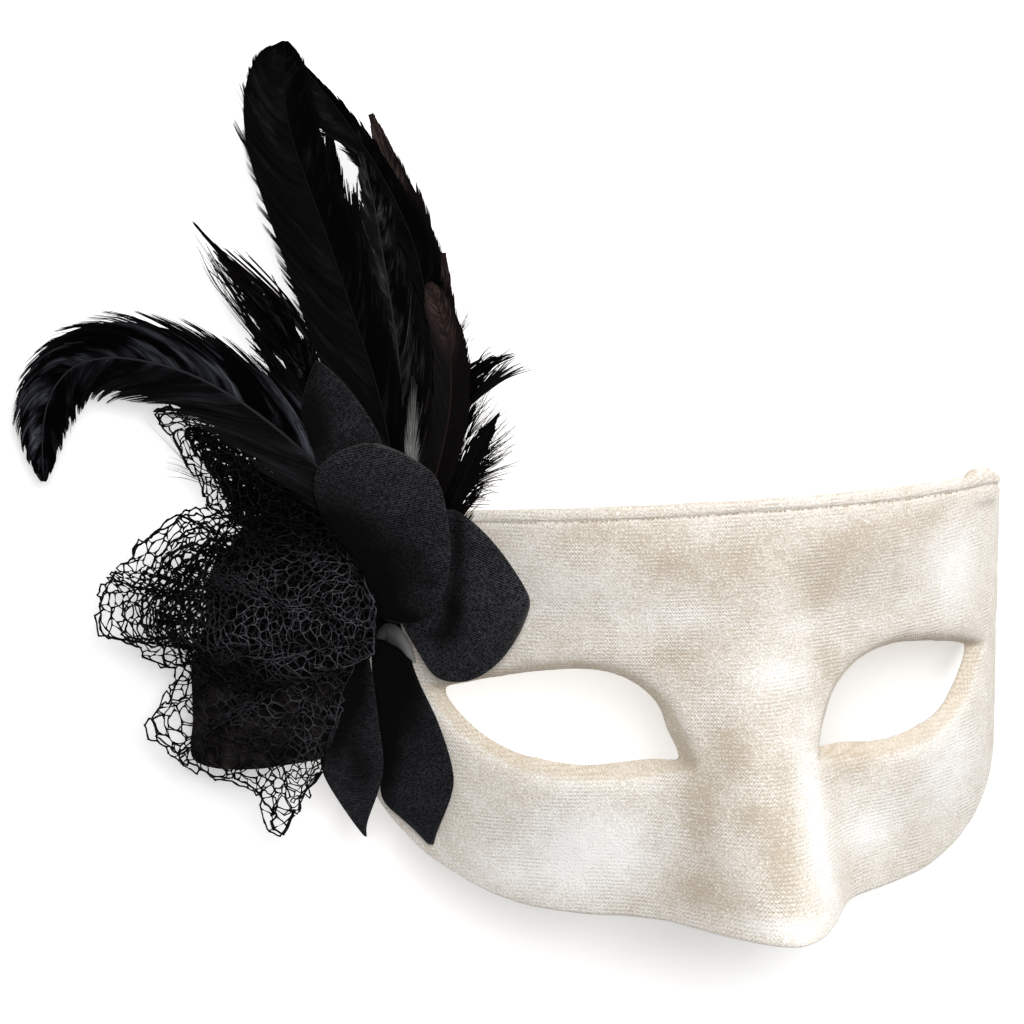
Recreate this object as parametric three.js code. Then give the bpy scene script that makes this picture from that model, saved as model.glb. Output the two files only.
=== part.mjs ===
import * as THREE from 'three';
import { mergeGeometries, mergeVertices } from 'three/addons/utils/BufferGeometryUtils.js';

// Half mask covered in velvet, with a spray of feathers, cloth petals and netting on one temple.
// Millimetres. It lies face up on the ends of its temples: +X to the viewer's right, +Y to the brow.

const degrees = Math.PI / 180;
const { clamp, lerp, smoothstep } = THREE.MathUtils;

// The face is a flat pattern (u along it from the nose, y up it) bent round the head.
const face = {
  frontRadius: 102,
  frontTurn: 38.4 * degrees,
  templeRadius: 43.6,
  templeTurn: 82 * degrees,
  depth: 62,
  thickness: 2.4,
  edgeRound: 0.9,
};
const topEdge = { centre: 26.9, fall: 3.1, lateFall: 1.4, reach: 80, beadRadius: 1.6, beadLift: 1.3 };
const bottomEdge = [
  [0, -62.5], [20, -62], [38, -62.3], [58, -58.8], [80, -47.4], [104, -27.4], [116, -18],
];
const eye = {
  inner: [14, -29],
  outer: [74, -13.5],
  upperLid: [[21, 5.5], [53.5, -7.5]],
  lowerLid: [[25, -32], [57, -37.5]],
  turnIn: 3,
  rimDepth: 4.5,
  rimEdge: { width: 0.2, fall: 0.1, backGap: 0.2 },
};
const nose = {
  bridge: 8,
  tip: -48,
  bridgeRise: 2.2,
  tipRise: 19.4,
  curve: 1.9,
  bridgeWidth: 11,
  tipWidth: 15.6,
  fadeAbove: 18,
  riseReach: 1.3,
  widthReach: 1.2,
};
const swells = [
  { rise: 3, u: 30, y: 18, spreadU: 26, spreadY: 11 },
  { rise: 2, u: 48, y: -34, spreadU: 24, spreadY: 14 },
];
const sideSteps = { bottom: 20, temple: 5, top: 13, middle: 11 };
const bottomCrowding = 1.4;
const ringCount = 6;
const lidAtCorners = [0.08, 0.45, 0.55, 0.86, 1.08];
const edgeAngles = [30, 60, 90, 120, 150];
const beadAngles = [-30, 30, 90, 150, 210];
const bottomHalvings = 24;
const weld = 0.001;

// The spray lies in an upright plane through one temple, turned a little to that side.
const spray = { u: -80, y: 3, turn: 18 * degrees, bedRise: 10.5, bedFrom: -8, bedTo: 26 };
const layerStart = 1;
const layerPitch = 1.25;

// Feathers, back layer first: spine from the quill's root to the tip, across and up the spray.
// left and right are half widths of the vane; the vane is full from `full` on, and narrows late or
// early by `hold` to a tip that is round below `point` 1; lift bends the tip forward.
const feathers = {
  downy_right_feather: {
    layer: 0, left: 8, right: 5, full: 0.3, hold: 3, point: 0.8,
    spine: [[1.6, 5], [7, 17], [12.5, 29], [17, 38.5], [21.5, 46.5]],
  },
  downy_left_feather: {
    layer: 0, left: 2.5, right: 2.5, full: 0.4, hold: 3, point: 0.8,
    spine: [[-1.6, 7], [-13, 26], [-22, 42.5], [-28, 55.5], [-33.5, 66]],
  },
  brown_back_feather: {
    layer: 1, left: 5, right: 5.5, full: 0.5, hold: 5, point: 0.8, brown: true,
    spine: [[0.9, 6], [7, 39], [7, 70.5], [2.8, 86.5], [-2.4, 99.5], [-6, 110]],
  },
  curled_back_feather: {
    layer: 1, left: 3.5, right: 4.5, full: 0.4, hold: 3, point: 0.9,
    spine: [[-1.2, 4.5], [-13, 22.5], [-22, 36.5], [-30, 47.5], [-37, 55], [-43.5, 60]],
  },
  brown_sliver_feather: {
    layer: 2, left: 3, right: 3, full: 0.5, hold: 5, point: 0.8, brown: true,
    spine: [[1, 6], [7, 33], [9, 55], [10, 70.5], [9.5, 81]],
  },
  left_thin_feather: {
    layer: 2, left: 5, right: 6.5, full: 0.45, hold: 2.2, point: 1,
    spine: [[-1, 6], [-10.5, 29], [-19, 48.5], [-27, 64], [-35, 75.5], [-44.5, 87]],
  },
  narrow_feather: {
    layer: 3, left: 4, right: 5, full: 0.5, hold: 4, point: 1,
    spine: [[-0.8, 7], [-3, 33], [-8, 57.5], [-12.5, 81], [-14.5, 98.5], [-15, 109]],
  },
  short_right_feather: {
    layer: 3, left: 5.5, right: 4.5, full: 0.5, hold: 4, point: 1,
    spine: [[1.2, 7], [6.5, 22.5], [9.8, 40], [12.6, 50], [15.5, 54.8], [19.5, 57.8], [24.9, 60.1]],
  },
  arched_feather: {
    layer: 4, left: 7, right: 6, full: 0.4, hold: 2, point: 0.8, bulge: { at: 0.89, spread: 0.06, size: 4.5 },
    spine: [[0.3, 8], [6, 42.5], [6.5, 64], [3.5, 81.5], [-3, 96], [-11.3, 109], [-17, 116.4], [-22.3, 122.8]],
  },
  round_feather: {
    layer: 5, left: 4, right: 4.2, full: 0.5, hold: 9, point: 0.5, brown: true,
    spine: [[0.8, 8], [8, 34], [11, 49.5], [10.5, 62.5], [6.5, 75]],
  },
  sheen_feather: {
    layer: 6, left: 5.2, right: 5.6, full: 0.4, hold: 4, point: 0.7,
    spine: [[0.2, 8], [1, 38.5], [-0.5, 60.5], [-3, 77.5], [-5.5, 92.5], [-8, 102.5]],
  },
  tall_feather: {
    layer: 7, left: 11, right: 7, full: 0.5, hold: 12, point: 0.5, lift: 3,
    spine: [
      [-0.5, 9], [-3, 43.5], [-11, 71], [-15.5, 85], [-20.5, 99.5], [-23, 108], [-24, 117.5], [-23.5, 126.5],
    ],
  },
  curled_feather: {
    layer: 8, left: 9.2, right: 9.8, full: 0.3, hold: 7, point: 0.8, lift: -5,
    spine: [
      [-1.2, 8.5], [-10, 24.5], [-18.5, 35.5], [-26.5, 43], [-36, 50], [-45.5, 55],
      [-54.5, 57.5], [-63.3, 58.2], [-70.4, 56], [-75.2, 50.3], [-77.3, 42], [-77.6, 30.5],
    ],
  },
};
const quillHalf = 0.45;
const quillWidth = 0.6;
const barbHalf = 0.12;
const vaneDip = 0.3;
const featherSteps = 14;
const tipCrowding = 1.4;

// Petals: left and right list each edge from the root to the tip, across and up the spray. rise is
// the height over the bed at the root and at the tip, arch raises the middle, and leftDrop and
// rightDrop bend the two edges back.
const petals = {
  upper_petal: {
    rise: [12.1, 12.4], arch: 0.4, leftDrop: 0, rightDrop: 0,
    left: [
      [-10.4, 23.3], [-15, 29.9], [-17.6, 35.5], [-20.1, 42.1], [-21.3, 47.1], [-20.8, 50.2], [-19.9, 53.4],
      [-18.8, 56.2], [-18, 58.2],
    ],
    right: [
      [-6, 24.2], [-2.9, 31.2], [-2.7, 37.1], [-4.4, 42.6], [-7.1, 47.1], [-9.7, 50.8], [-12.6, 54.1],
      [-15.4, 56.9], [-17.5, 58.2],
    ],
  },
  front_petal: {
    rise: [14.7, 15.5], arch: 0.9, leftDrop: 0.7, rightDrop: 1.8,
    left: [
      [-4.8, 3.4], [-8.2, 8.3], [-12.9, 16.1], [-16.7, 23.9], [-18.8, 30.1], [-18.5, 33.6], [-17.2, 36],
      [-14, 38.6], [-10.1, 40.1], [-6.9, 40.8],
    ],
    right: [
      [-2.7, 1], [2.6, 0.6], [7.4, 3.9], [10.7, 10], [11.4, 18.9], [10.3, 27.6], [8.6, 34], [4.5, 36.9],
      [-0.2, 39.3], [-5, 40.6],
    ],
  },
  right_petal: {
    rise: [12.3, 4.9], arch: 1, leftDrop: 0.3, rightDrop: 3.5,
    left: [
      [0, 14.7], [5.5, 23.5], [10.3, 27.2], [13.1, 26.4], [15.8, 24.5], [19.1, 21.3], [22.5, 16.9],
      [25.5, 12.1], [27.5, 8.3], [28.1, 6.2],
    ],
    right: [
      [-0.2, 0.2], [1.8, -3.8], [4.2, -7.7], [7, -12.3], [11.4, -13.3], [16.8, -11.8], [22, -7.6],
      [25.7, -2], [27.7, 2.6], [28.1, 4.4],
    ],
  },
  lower_right_petal: {
    rise: [0.4, 2.1], arch: 0.5, leftDrop: 0.5, rightDrop: 0,
    left: [
      [-0.4, 1.6], [-0.4, -3.2], [1.6, -8.1], [3.1, -13.8], [5.7, -18.9], [8.8, -24.8], [10.6, -31.3],
      [11.9, -35.5], [10.8, -40.8], [8.7, -46.1], [7.4, -49.3], [6.9, -51.7],
    ],
    right: [
      [-6.7, 1.5], [-6.9, -4.4], [-6.9, -9.6], [-6.7, -15.7], [-6.1, -22], [-5.4, -28.3], [-5, -34.4],
      [-5.3, -39], [-5.1, -42.6], [-1.3, -45.6], [2.5, -48.6], [5.6, -51.7],
    ],
  },
  lower_left_petal: {
    rise: [2.2, 3.3], arch: 0.6, leftDrop: 0, rightDrop: 0,
    left: [
      [-8.4, -6], [-7.1, -10.4], [-6.2, -14.9], [-5.6, -20.5], [-4.9, -26.1], [-4.1, -31.7], [-4.3, -36.9],
      [-5.9, -42], [-7.5, -46], [-8.2, -48.7], [-8, -50.8],
    ],
    right: [
      [-11, -6], [-12.6, -10.9], [-14.6, -17.2], [-16.9, -23.5], [-18.2, -28.9], [-18.5, -33.4],
      [-17.4, -37.3], [-15.2, -40.9], [-12.8, -44.8], [-10.4, -48.3], [-8.6, -50.6],
    ],
  },
};
const petalHalf = 0.35;
const petalSteps = { along: 12, across: 5 };

// Netting and its lining: fans of cloth pleated towards the gathered end, then spread.
// edge lists the outer edge as [across, up] points, gather the two ends of the gathered end.
const cloths = {
  net_pouf: {
    gather: [[-5.6, 5], [-6.4, -5]],
    edge: [
      [-18.5, 23.5], [-40, 27.6], [-54.8, 20.6], [-65.5, 7.3], [-66.5, -3], [-57, -5], [-55.5, -9.5], [-47, -9],
      [-34, -14], [-17.5, -10],
    ],
    reach: [-5.6, -66.5], heights: [16, 18.8, 14.5, 8.5], pleat: 1.5, pleats: 5,
  },
  net_ruffle: {
    gather: [[-9, -0.6], [-8.8, -5.5]],
    edge: [
      [-47, -7.5], [-51.5, -16.5], [-56.5, -26.5], [-46.5, -35], [-33.5, -39.8], [-28.8, -52], [-19, -38.5],
      [-16, -22],
    ],
    reach: [-9, -57], heights: [0.8, 1.4, 3.2, 2.6], pleat: 0.9, pleats: 4,
  },
  lining: {
    gather: [[-9.4, 7.5], [-9.2, -5.5]],
    edge: [[-24, 22], [-46.5, 20], [-47.5, 0], [-46.5, -20], [-46, -34.5], [-32, -36], [-18.5, -34]],
    reach: [-9, -47.5], heights: [-1.4, -1.6, -0.2, -0.4], pleat: 0.4, pleats: 4,
  },
  back_net: {
    gather: [[-8.5, 15.5], [-9.5, 11.5]],
    edge: [[-36, 43], [-52, 46], [-46.5, 34], [-41, 26.5], [-22, 18.5]],
    reach: [-8.5, -52], heights: [3.2, 6, 6.8, 5], pleat: 0.6, pleats: 3,
  },
};
const clothHalf = 0.3;
const clothSteps = { along: 6, across: 20 };
const fullPleatAt = 0.7;

const finishes = {
  velvet: { color: 0xd9cdb9, roughness: 0.9 },
  petal: { color: 0x17181a, roughness: 0.7 },
  feather: { color: 0x0b0b0c, roughness: 0.45 },
  brown: { color: 0x2a201d, roughness: 0.45 },
  net: { color: 0x0e0e10, roughness: 0.85 },
  lining: { color: 0x131216, roughness: 0.85 },
};

const ease = (x) => smoothstep(x, 0, 1);

// Place and turn of the bent pattern at u.
function bend(u) {
  const along = Math.abs(u);
  const frontRun = face.frontRadius * face.frontTurn;
  const templeRun = face.templeRadius * (face.templeTurn - face.frontTurn);
  const first = Math.min(along, frontRun) / face.frontRadius;
  const second = clamp(along - frontRun, 0, templeRun) / face.templeRadius;
  const straight = Math.max(along - frontRun - templeRun, 0);
  const turn = first + second;
  const x = face.frontRadius * Math.sin(first)
    + face.templeRadius * (Math.sin(face.frontTurn + second) - Math.sin(face.frontTurn))
    + straight * Math.cos(face.templeTurn);
  const z = face.depth
    + face.frontRadius * (Math.cos(first) - 1)
    + face.templeRadius * (Math.cos(face.frontTurn + second) - Math.cos(face.frontTurn))
    - straight * Math.sin(face.templeTurn);
  return { x: Math.sign(u) * x, z, turn: Math.sign(u) * turn };
}

// Pattern length from the nose to the flat end of a temple, where z reaches zero.
const templeEnd = (() => {
  const runs = face.frontRadius * face.frontTurn + face.templeRadius * (face.templeTurn - face.frontTurn);
  return runs + bend(runs).z / Math.sin(face.templeTurn);
})();

// How far the nose, brows and cheeks stand out of the bent pattern.
function relief(u, y) {
  const down = clamp((nose.bridge - y) / (nose.bridge - nose.tip), 0, nose.riseReach);
  const above = clamp((y - nose.bridge) / nose.fadeAbove, 0, 1);
  const ridge = y > nose.bridge
    ? nose.bridgeRise * (1 - above) ** 2 * (1 + 2 * above)
    : nose.bridgeRise + (nose.tipRise - nose.bridgeRise) * down ** nose.curve;
  const width = lerp(nose.bridgeWidth, nose.tipWidth, Math.min(down, nose.widthReach));
  let out = ridge * Math.exp(-((u / width) ** 2));
  for (const swell of swells) {
    const across = (Math.abs(u) - swell.u) / swell.spreadU;
    const up = (y - swell.y) / swell.spreadY;
    out += swell.rise * Math.exp(-across * across - up * up);
  }
  return out;
}

function facePoint(u, y, off = 0) {
  const place = bend(u);
  const out = relief(u, y) + off;
  const z = u >= templeEnd - weld ? 0 : place.z + out * Math.cos(place.turn);
  return new THREE.Vector3(place.x + out * Math.sin(place.turn), y, z);
}

function topY(u) {
  const far = (u / topEdge.reach) ** 2;
  return topEdge.centre - topEdge.fall * far - topEdge.lateFall * far * far;
}

const bottomCurve = new THREE.SplineCurve(bottomEdge.map(([u, y]) => new THREE.Vector2(u, y)));

function bottomY(u) {
  let low = 0;
  let high = 1;
  for (let step = 0; step < bottomHalvings; step++) {
    const middle = (low + high) / 2;
    if (bottomCurve.getPoint(middle).x < u) low = middle;
    else high = middle;
  }
  return bottomCurve.getPoint(low).y;
}

function lid(handles) {
  const points = [eye.inner, ...handles, eye.outer].map(([u, y]) => new THREE.Vector2(u, y));
  return new THREE.CubicBezierCurve(...points);
}

const lowerLid = lid(eye.lowerLid);
const upperLid = lid(eye.upperLid);

// Once round the eye: 0 is the inner corner, 0.5 the outer one, reached along the lower lid.
function eyePoint(turns) {
  const t = turns - Math.floor(turns);
  return t < 0.5 ? lowerLid.getPoint(t * 2) : upperLid.getPoint(2 - t * 2);
}

const eyeCentre = new THREE.Vector2(...eye.inner).lerp(new THREE.Vector2(...eye.outer), 0.5);

// The outline of one half, once round: along the bottom, up the temple, back along the top and down
// the middle.
function halfOutline() {
  const points = [];
  const { bottom, temple, top, middle } = sideSteps;
  const add = (side, count, place, outward) => {
    for (let i = 0; i < count; i++) points.push({ side, ...place(i / count), outward, share: i / count });
  };
  const endLow = bottomY(templeEnd);
  const endHigh = topY(templeEnd);
  const lowAt = (u) => ({ u, y: bottomY(u) });
  const highAt = (u) => ({ u, y: topY(u) });
  add(0, bottom, (t) => lowAt(templeEnd * t ** bottomCrowding), -1);
  add(1, temple, (t) => ({ u: templeEnd, y: lerp(endLow, endHigh, t) }), 0);
  add(2, top, (t) => highAt(templeEnd * (1 - t)), 1);
  add(3, middle, (t) => ({ u: 0, y: lerp(topY(0), bottomY(0), t) }), 0);
  points.find(({ side }) => side === 3).outward = 1;
  return points;
}

function pushStrip(index, near, far) {
  for (let i = 0; i + 1 < near.length; i++) {
    index.push(near[i], near[i + 1], far[i], far[i], near[i + 1], far[i + 1]);
  }
}

function bodyFrom(points, index) {
  const geometry = new THREE.BufferGeometry().setFromPoints(points);
  geometry.setIndex(index);
  return geometry;
}

function mirrored(geometry) {
  const copy = geometry.clone().scale(-1, 1, 1);
  const index = copy.index.array;
  for (let i = 0; i < index.length; i += 3) [index[i], index[i + 1]] = [index[i + 1], index[i]];
  return copy;
}

// One half of the shell: rings from the outline to the eye, round the rim of the eye, back behind
// the face to the outline, and over its edge. The edge is open along the middle, where halves meet.
function halfShell() {
  const outline = halfOutline();
  const lidPoints = outline.map(({ side, share }) => (
    eyePoint(lerp(lidAtCorners[side], lidAtCorners[side + 1], share))
  ));
  const points = [];
  const addRing = (place) => outline.map((corner, k) => points.push(place(corner, k)) - 1);
  const between = (weight, off) => addRing(({ u, y }, k) => (
    facePoint(lerp(u, lidPoints[k].x, weight), lerp(y, lidPoints[k].y, weight), off)
  ));
  const rim = (inward, off) => addRing((_, k) => {
    const moved = lidPoints[k].clone().lerp(eyeCentre, inward / lidPoints[k].distanceTo(eyeCentre));
    return facePoint(moved.x, moved.y, off);
  });
  const edge = (angle, beadAngle) => addRing(({ u, y, outward }) => {
    if (outward > 0 && u < templeEnd - weld) {
      const lift = topEdge.beadLift + topEdge.beadRadius * Math.sin(beadAngle);
      return facePoint(u, y + lift, topEdge.beadRadius * Math.cos(beadAngle) - face.thickness / 2);
    }
    const half = face.thickness / 2;
    return facePoint(u, y + outward * face.edgeRound * Math.sin(angle), half * Math.cos(angle) - half);
  });

  const weights = Array.from({ length: ringCount + 1 }, (_, i) => i / ringCount);
  const front = weights.map((weight) => between(weight, 0));
  const { width, fall, backGap } = eye.rimEdge;
  const turned = [rim(eye.turnIn, -eye.rimDepth), rim(width, -eye.rimDepth - fall)];
  const back = weights.map((weight) => between(weight, -face.thickness)).reverse();
  back[0] = rim(-backGap, -face.thickness);
  const over = edgeAngles.map((angle, i) => edge(angle * degrees, beadAngles[i] * degrees)).reverse();

  const index = [];
  const rings = [...front, ...turned, ...back];
  for (let i = 0; i + 1 < rings.length; i++) {
    pushStrip(index, [...rings[i], rings[i][0]], [...rings[i + 1], rings[i + 1][0]]);
  }
  const openAt = outline.findIndex(({ side }) => side === 3) + 1;
  const edges = [back.at(-1), ...over, front[0]].map((ring) => ring.slice(0, openAt));
  for (let i = 0; i + 1 < edges.length; i++) pushStrip(index, edges[i], edges[i + 1]);
  return bodyFrom(points, index);
}

function shell() {
  const right = halfShell();
  return mergeVertices(mergeGeometries([right, mirrored(right)]), weld);
}

// Height of the bed that feathers and petals lie on: flat to the side, rising with the face.
const bed = (across) => spray.bedRise * smoothstep(across, spray.bedFrom, spray.bedTo);

const sprayRoot = facePoint(spray.u, spray.y);
const acrossAxis = new THREE.Vector3(Math.cos(spray.turn), 0, Math.sin(spray.turn));
const outAxis = new THREE.Vector3(-Math.sin(spray.turn), 0, Math.cos(spray.turn));

function sprayPoint(across, up, out) {
  return sprayRoot.clone()
    .addScaledVector(acrossAxis, across)
    .addScaledVector(outAxis, out)
    .add(new THREE.Vector3(0, up, 0));
}

// Half width of a vane at t, as a share of its widest.
function fullness(t, { full, hold, point }) {
  return ease(t / full) * (1 - t ** hold) ** point;
}

// A closed body between two skins; skin(t, s, face) gives a point along (0 to 1) and across (-1 to 1).
function plate(along, across, skin) {
  const points = [];
  const addRow = (t, side) => Array.from({ length: across + 1 }, (_, j) => (
    points.push(skin(t, (2 * j) / across - 1, side)) - 1
  ));
  const index = [];
  const rows = Array.from({ length: along + 1 }, (_, i) => (
    { front: addRow(i / along, 1), back: addRow(i / along, -1) }
  ));
  const loops = rows.map(({ front, back }) => [...front, ...back.toReversed(), front[0]]);
  for (let i = 0; i + 1 < loops.length; i++) pushStrip(index, loops[i], loops[i + 1]);
  pushStrip(index, rows[0].back, rows[0].front);
  pushStrip(index, rows[along].front, rows[along].back);
  return bodyFrom(points, index);
}

function flatCurve(spine) {
  return new THREE.CatmullRomCurve3(spine.map(([across, up]) => new THREE.Vector3(across, up, 0)));
}

// Half width at t on the side of s. A bulge widens the left side round one place.
function halfWidth(shape, t, s) {
  const { left, right, bulge } = shape;
  const bulged = bulge && s < 0 ? bulge.size * Math.exp(-(((t - bulge.at) / bulge.spread) ** 2)) : 0;
  return Math.max((s < 0 ? left : right) * fullness(t, shape) + bulged, quillWidth);
}

function feather(shape) {
  const curve = flatCurve(shape.spine);
  const base = layerStart + layerPitch * shape.layer;
  return plate(featherSteps, 2, (step, s, side) => {
    const t = 1 - (1 - step) ** tipCrowding;
    const spine = curve.getPointAt(t);
    const tangent = curve.getTangentAt(t);
    const width = s * halfWidth(shape, t, s);
    const across = spine.x + tangent.y * width;
    const up = spine.y - tangent.x * width;
    const half = s === 0 ? lerp(quillHalf, barbHalf, t) : barbHalf;
    const height = base + (shape.lift ?? 0) * t ** 3 - vaneDip * s * s * (1 - t) + side * half;
    return sprayPoint(across, up, bed(across) + height);
  });
}

function petal(shape) {
  const left = flatCurve(shape.left);
  const right = flatCurve(shape.right);
  return plate(petalSteps.along, petalSteps.across, (t, s, side) => {
    const place = left.getPoint(t).lerp(right.getPoint(t), (s + 1) / 2);
    const drop = s < 0 ? shape.leftDrop : shape.rightDrop;
    const middle = lerp(...shape.rise, t) + shape.arch * Math.sin(Math.PI * t);
    return sprayPoint(place.x, place.y, bed(place.x) + middle - drop * s * s + side * petalHalf);
  });
}

// A gathered cloth: straight lines run from the gathered end to the outer edge, pleated between.
function cloth({ gather, edge, reach, heights, pleat, pleats }) {
  const outer = flatCurve(edge);
  const start = new THREE.Vector3(...gather[0], 0);
  const end = new THREE.Vector3(...gather[1], 0);
  const profile = new THREE.SplineCurve(heights.map((height, i) => new THREE.Vector2(i, height)));
  return plate(clothSteps.along, clothSteps.across, (t, s, side) => {
    const share = (1 - s) / 2;
    const place = start.clone().lerp(end, share).lerp(outer.getPointAt(share), t);
    const opened = Math.sin(Math.PI * Math.min(t, fullPleatAt));
    const wave = pleat * Math.sin(2 * Math.PI * pleats * share) * opened;
    const height = profile.getPoint(clamp((place.x - reach[0]) / (reach[1] - reach[0]), 0, 1)).y;
    return sprayPoint(place.x, place.y, height + wave + side * clothHalf);
  });
}

function piece(name, geometry, finish) {
  const mesh = new THREE.Mesh(geometry, new THREE.MeshStandardMaterial({ ...finish, metalness: 0 }));
  mesh.name = name;
  return mesh;
}

const mask = new THREE.Group();
mask.add(piece('velvet_mask', shell(), finishes.velvet));
for (const [name, shape] of Object.entries(petals)) mask.add(piece(name, petal(shape), finishes.petal));
for (const [name, shape] of Object.entries(feathers)) {
  mask.add(piece(name, feather(shape), shape.brown ? finishes.brown : finishes.feather));
}
for (const [name, shape] of Object.entries(cloths)) {
  mask.add(piece(name, cloth(shape), name === 'lining' ? finishes.lining : finishes.net));
}

// The origin is under the middle of the whole piece, on the surface that it lies on.
const extent = new THREE.Box3().setFromObject(mask);
const middle = extent.getCenter(new THREE.Vector3());
mask.position.set(-middle.x, -middle.y, -extent.min.z);

export default mask;
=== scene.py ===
import math
import random

import bmesh
import bpy
from mathutils import Matrix, Vector, noise


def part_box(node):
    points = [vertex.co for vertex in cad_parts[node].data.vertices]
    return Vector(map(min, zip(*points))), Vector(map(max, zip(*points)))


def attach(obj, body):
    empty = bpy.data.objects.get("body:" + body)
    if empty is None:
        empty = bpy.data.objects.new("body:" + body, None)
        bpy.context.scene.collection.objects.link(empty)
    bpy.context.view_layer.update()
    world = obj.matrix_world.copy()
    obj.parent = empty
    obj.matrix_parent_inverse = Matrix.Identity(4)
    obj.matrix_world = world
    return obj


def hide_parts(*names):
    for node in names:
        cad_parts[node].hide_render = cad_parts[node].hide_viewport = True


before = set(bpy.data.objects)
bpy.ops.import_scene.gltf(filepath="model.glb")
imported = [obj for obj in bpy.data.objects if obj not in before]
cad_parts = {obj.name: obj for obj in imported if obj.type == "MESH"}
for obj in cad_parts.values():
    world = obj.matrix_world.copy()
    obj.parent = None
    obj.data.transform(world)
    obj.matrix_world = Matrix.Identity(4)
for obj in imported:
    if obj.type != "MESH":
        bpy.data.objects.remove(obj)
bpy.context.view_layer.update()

# A half mask in ivory velvet, with feathers, cloth petals and black net on one temple.
# It lies face up. Dictionaries are in millimetres, meshes in metres.
mm = 0.001
weldDistance = 0.002 * mm

# The bent face: front and temple arcs seen from the brow, and the line of its top edge.
face = {
    "frontRadius": 102,
    "frontTurn": math.radians(38.4),
    "templeRadius": 43.6,
    "templeTurn": math.radians(82),
    "depth": 62,
    "topEdge": {"centre": 26.9, "fall": 3.1, "lateFall": 1.4, "reach": 80},
    "topOverNose": 29.8,
}
# The spray's own upright plane, turned a little to its side.
spray = {"root": (-71.47, 3, 31.67), "turn": math.radians(18)}

maskLow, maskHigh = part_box("velvet_mask")
origin = Vector(((maskLow.x + maskHigh.x) / 2, maskHigh.y - face["topOverNose"] * mm, 0))
sprayAcross = Vector((math.cos(spray["turn"]), 0, math.sin(spray["turn"])))
sprayUp = Vector((0, 1, 0))
sprayOut = Vector((-math.sin(spray["turn"]), 0, math.cos(spray["turn"])))
sprayRoot = origin + Vector(spray["root"]) * mm


def lerp(a, b, share):
    return a + (b - a) * share


def clamp(value, low=0.0, high=1.0):
    return max(low, min(high, value))


def ease(low, high, value):
    share = clamp((value - low) / (high - low))
    return share * share * (3 - 2 * share)


def sprayPoint(across, up, out):
    return sprayRoot + (sprayAcross * across + sprayUp * up + sprayOut * out) * mm


def inSpray(point):
    offset = (point - sprayRoot) / mm
    return offset.dot(sprayAcross), offset.dot(sprayUp), offset.dot(sprayOut)


# Smooth curve through points given as tuples, at a share of the way by point number.
def through(points, share):
    place = clamp(share) * (len(points) - 1)
    index = min(int(place), len(points) - 2)
    part = place - index
    a, b, c, d = (points[clamp(index + k, 0, len(points) - 1)] for k in (-1, 0, 1, 2))
    return tuple(
        q + 0.5 * part * (r - p + part * (2 * p - 5 * q + 4 * r - s + part * (3 * (q - r) + s - p)))
        for p, q, r, s in zip(a, b, c, d)
    )


# The same curve, at a share of its length.
def evenly(points, samples=200):
    dense = [Vector(through(points, i / samples)) for i in range(samples + 1)]
    runs = [0.0]
    for near, far in zip(dense, dense[1:]):
        runs.append(runs[-1] + (far - near).length)

    def at(share):
        wanted = clamp(share) * runs[-1]
        low, high = 0, samples
        while high - low > 1:
            middle = (low + high) // 2
            if runs[middle] <= wanted:
                low = middle
            else:
                high = middle
        step = runs[high] - runs[low]
        return dense[low].lerp(dense[high], (wanted - runs[low]) / step if step else 0)

    return at


# A grid whose vertices are put where place(along, across) says; both run from 0 to 1.
def gridOn(mesh, along, across, place):
    made = bmesh.ops.create_grid(mesh, x_segments=across, y_segments=along, size=1)["verts"]
    for number, vertex in enumerate(made):
        row, column = divmod(number, across + 1)
        vertex.co = place(row / along, column / across)
    return made


# Separate flat ribbons cut from one grid: for each ribbon, its pairs of vertices from root to end.
def ribbons(mesh, count, steps):
    columns = 2 * count
    made = bmesh.ops.create_grid(mesh, x_segments=columns - 1, y_segments=steps, size=1)["verts"]
    gaps = {f for v in made[1:columns:2] for f in v.link_faces if f.calc_center_median().x > v.co.x}
    for row in range(1, steps + 1):
        starts = made[row * columns + 1:(row + 1) * columns:2]
        gaps |= {f for v in starts for f in v.link_faces if f.calc_center_median().x > v.co.x}
    bmesh.ops.delete(mesh, geom=list(gaps), context="FACES_ONLY")
    return [
        [(made[row * columns + 2 * k], made[row * columns + 2 * k + 1]) for row in range(steps + 1)]
        for k in range(count)
    ]


def finishPiece(mesh, name, material, nodes=(), smooth=True):
    data = bpy.data.meshes.new(name)
    mesh.to_mesh(data)
    mesh.free()
    piece = bpy.data.objects.new(name, data)
    bpy.context.scene.collection.objects.link(piece)
    for polygon in data.polygons:
        polygon.use_smooth = smooth
    data.materials.append(material)
    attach(piece, "root")
    if nodes:
        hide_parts(*nodes)
    return piece


# A merged copy of a imported solid; paired() joins its triangles into squares.
def copyOf(node):
    mesh = bmesh.new()
    mesh.from_mesh(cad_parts[node].data)
    bmesh.ops.remove_doubles(mesh, verts=mesh.verts, dist=weldDistance)
    return mesh


def paired(mesh):
    bmesh.ops.join_triangles(
        mesh, faces=mesh.faces, cmp_seam=False, cmp_sharp=False, cmp_uvs=False, cmp_vcols=False,
        cmp_materials=False, angle_face_threshold=math.radians(60), angle_shape_threshold=math.radians(60),
    )
    return mesh


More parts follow.
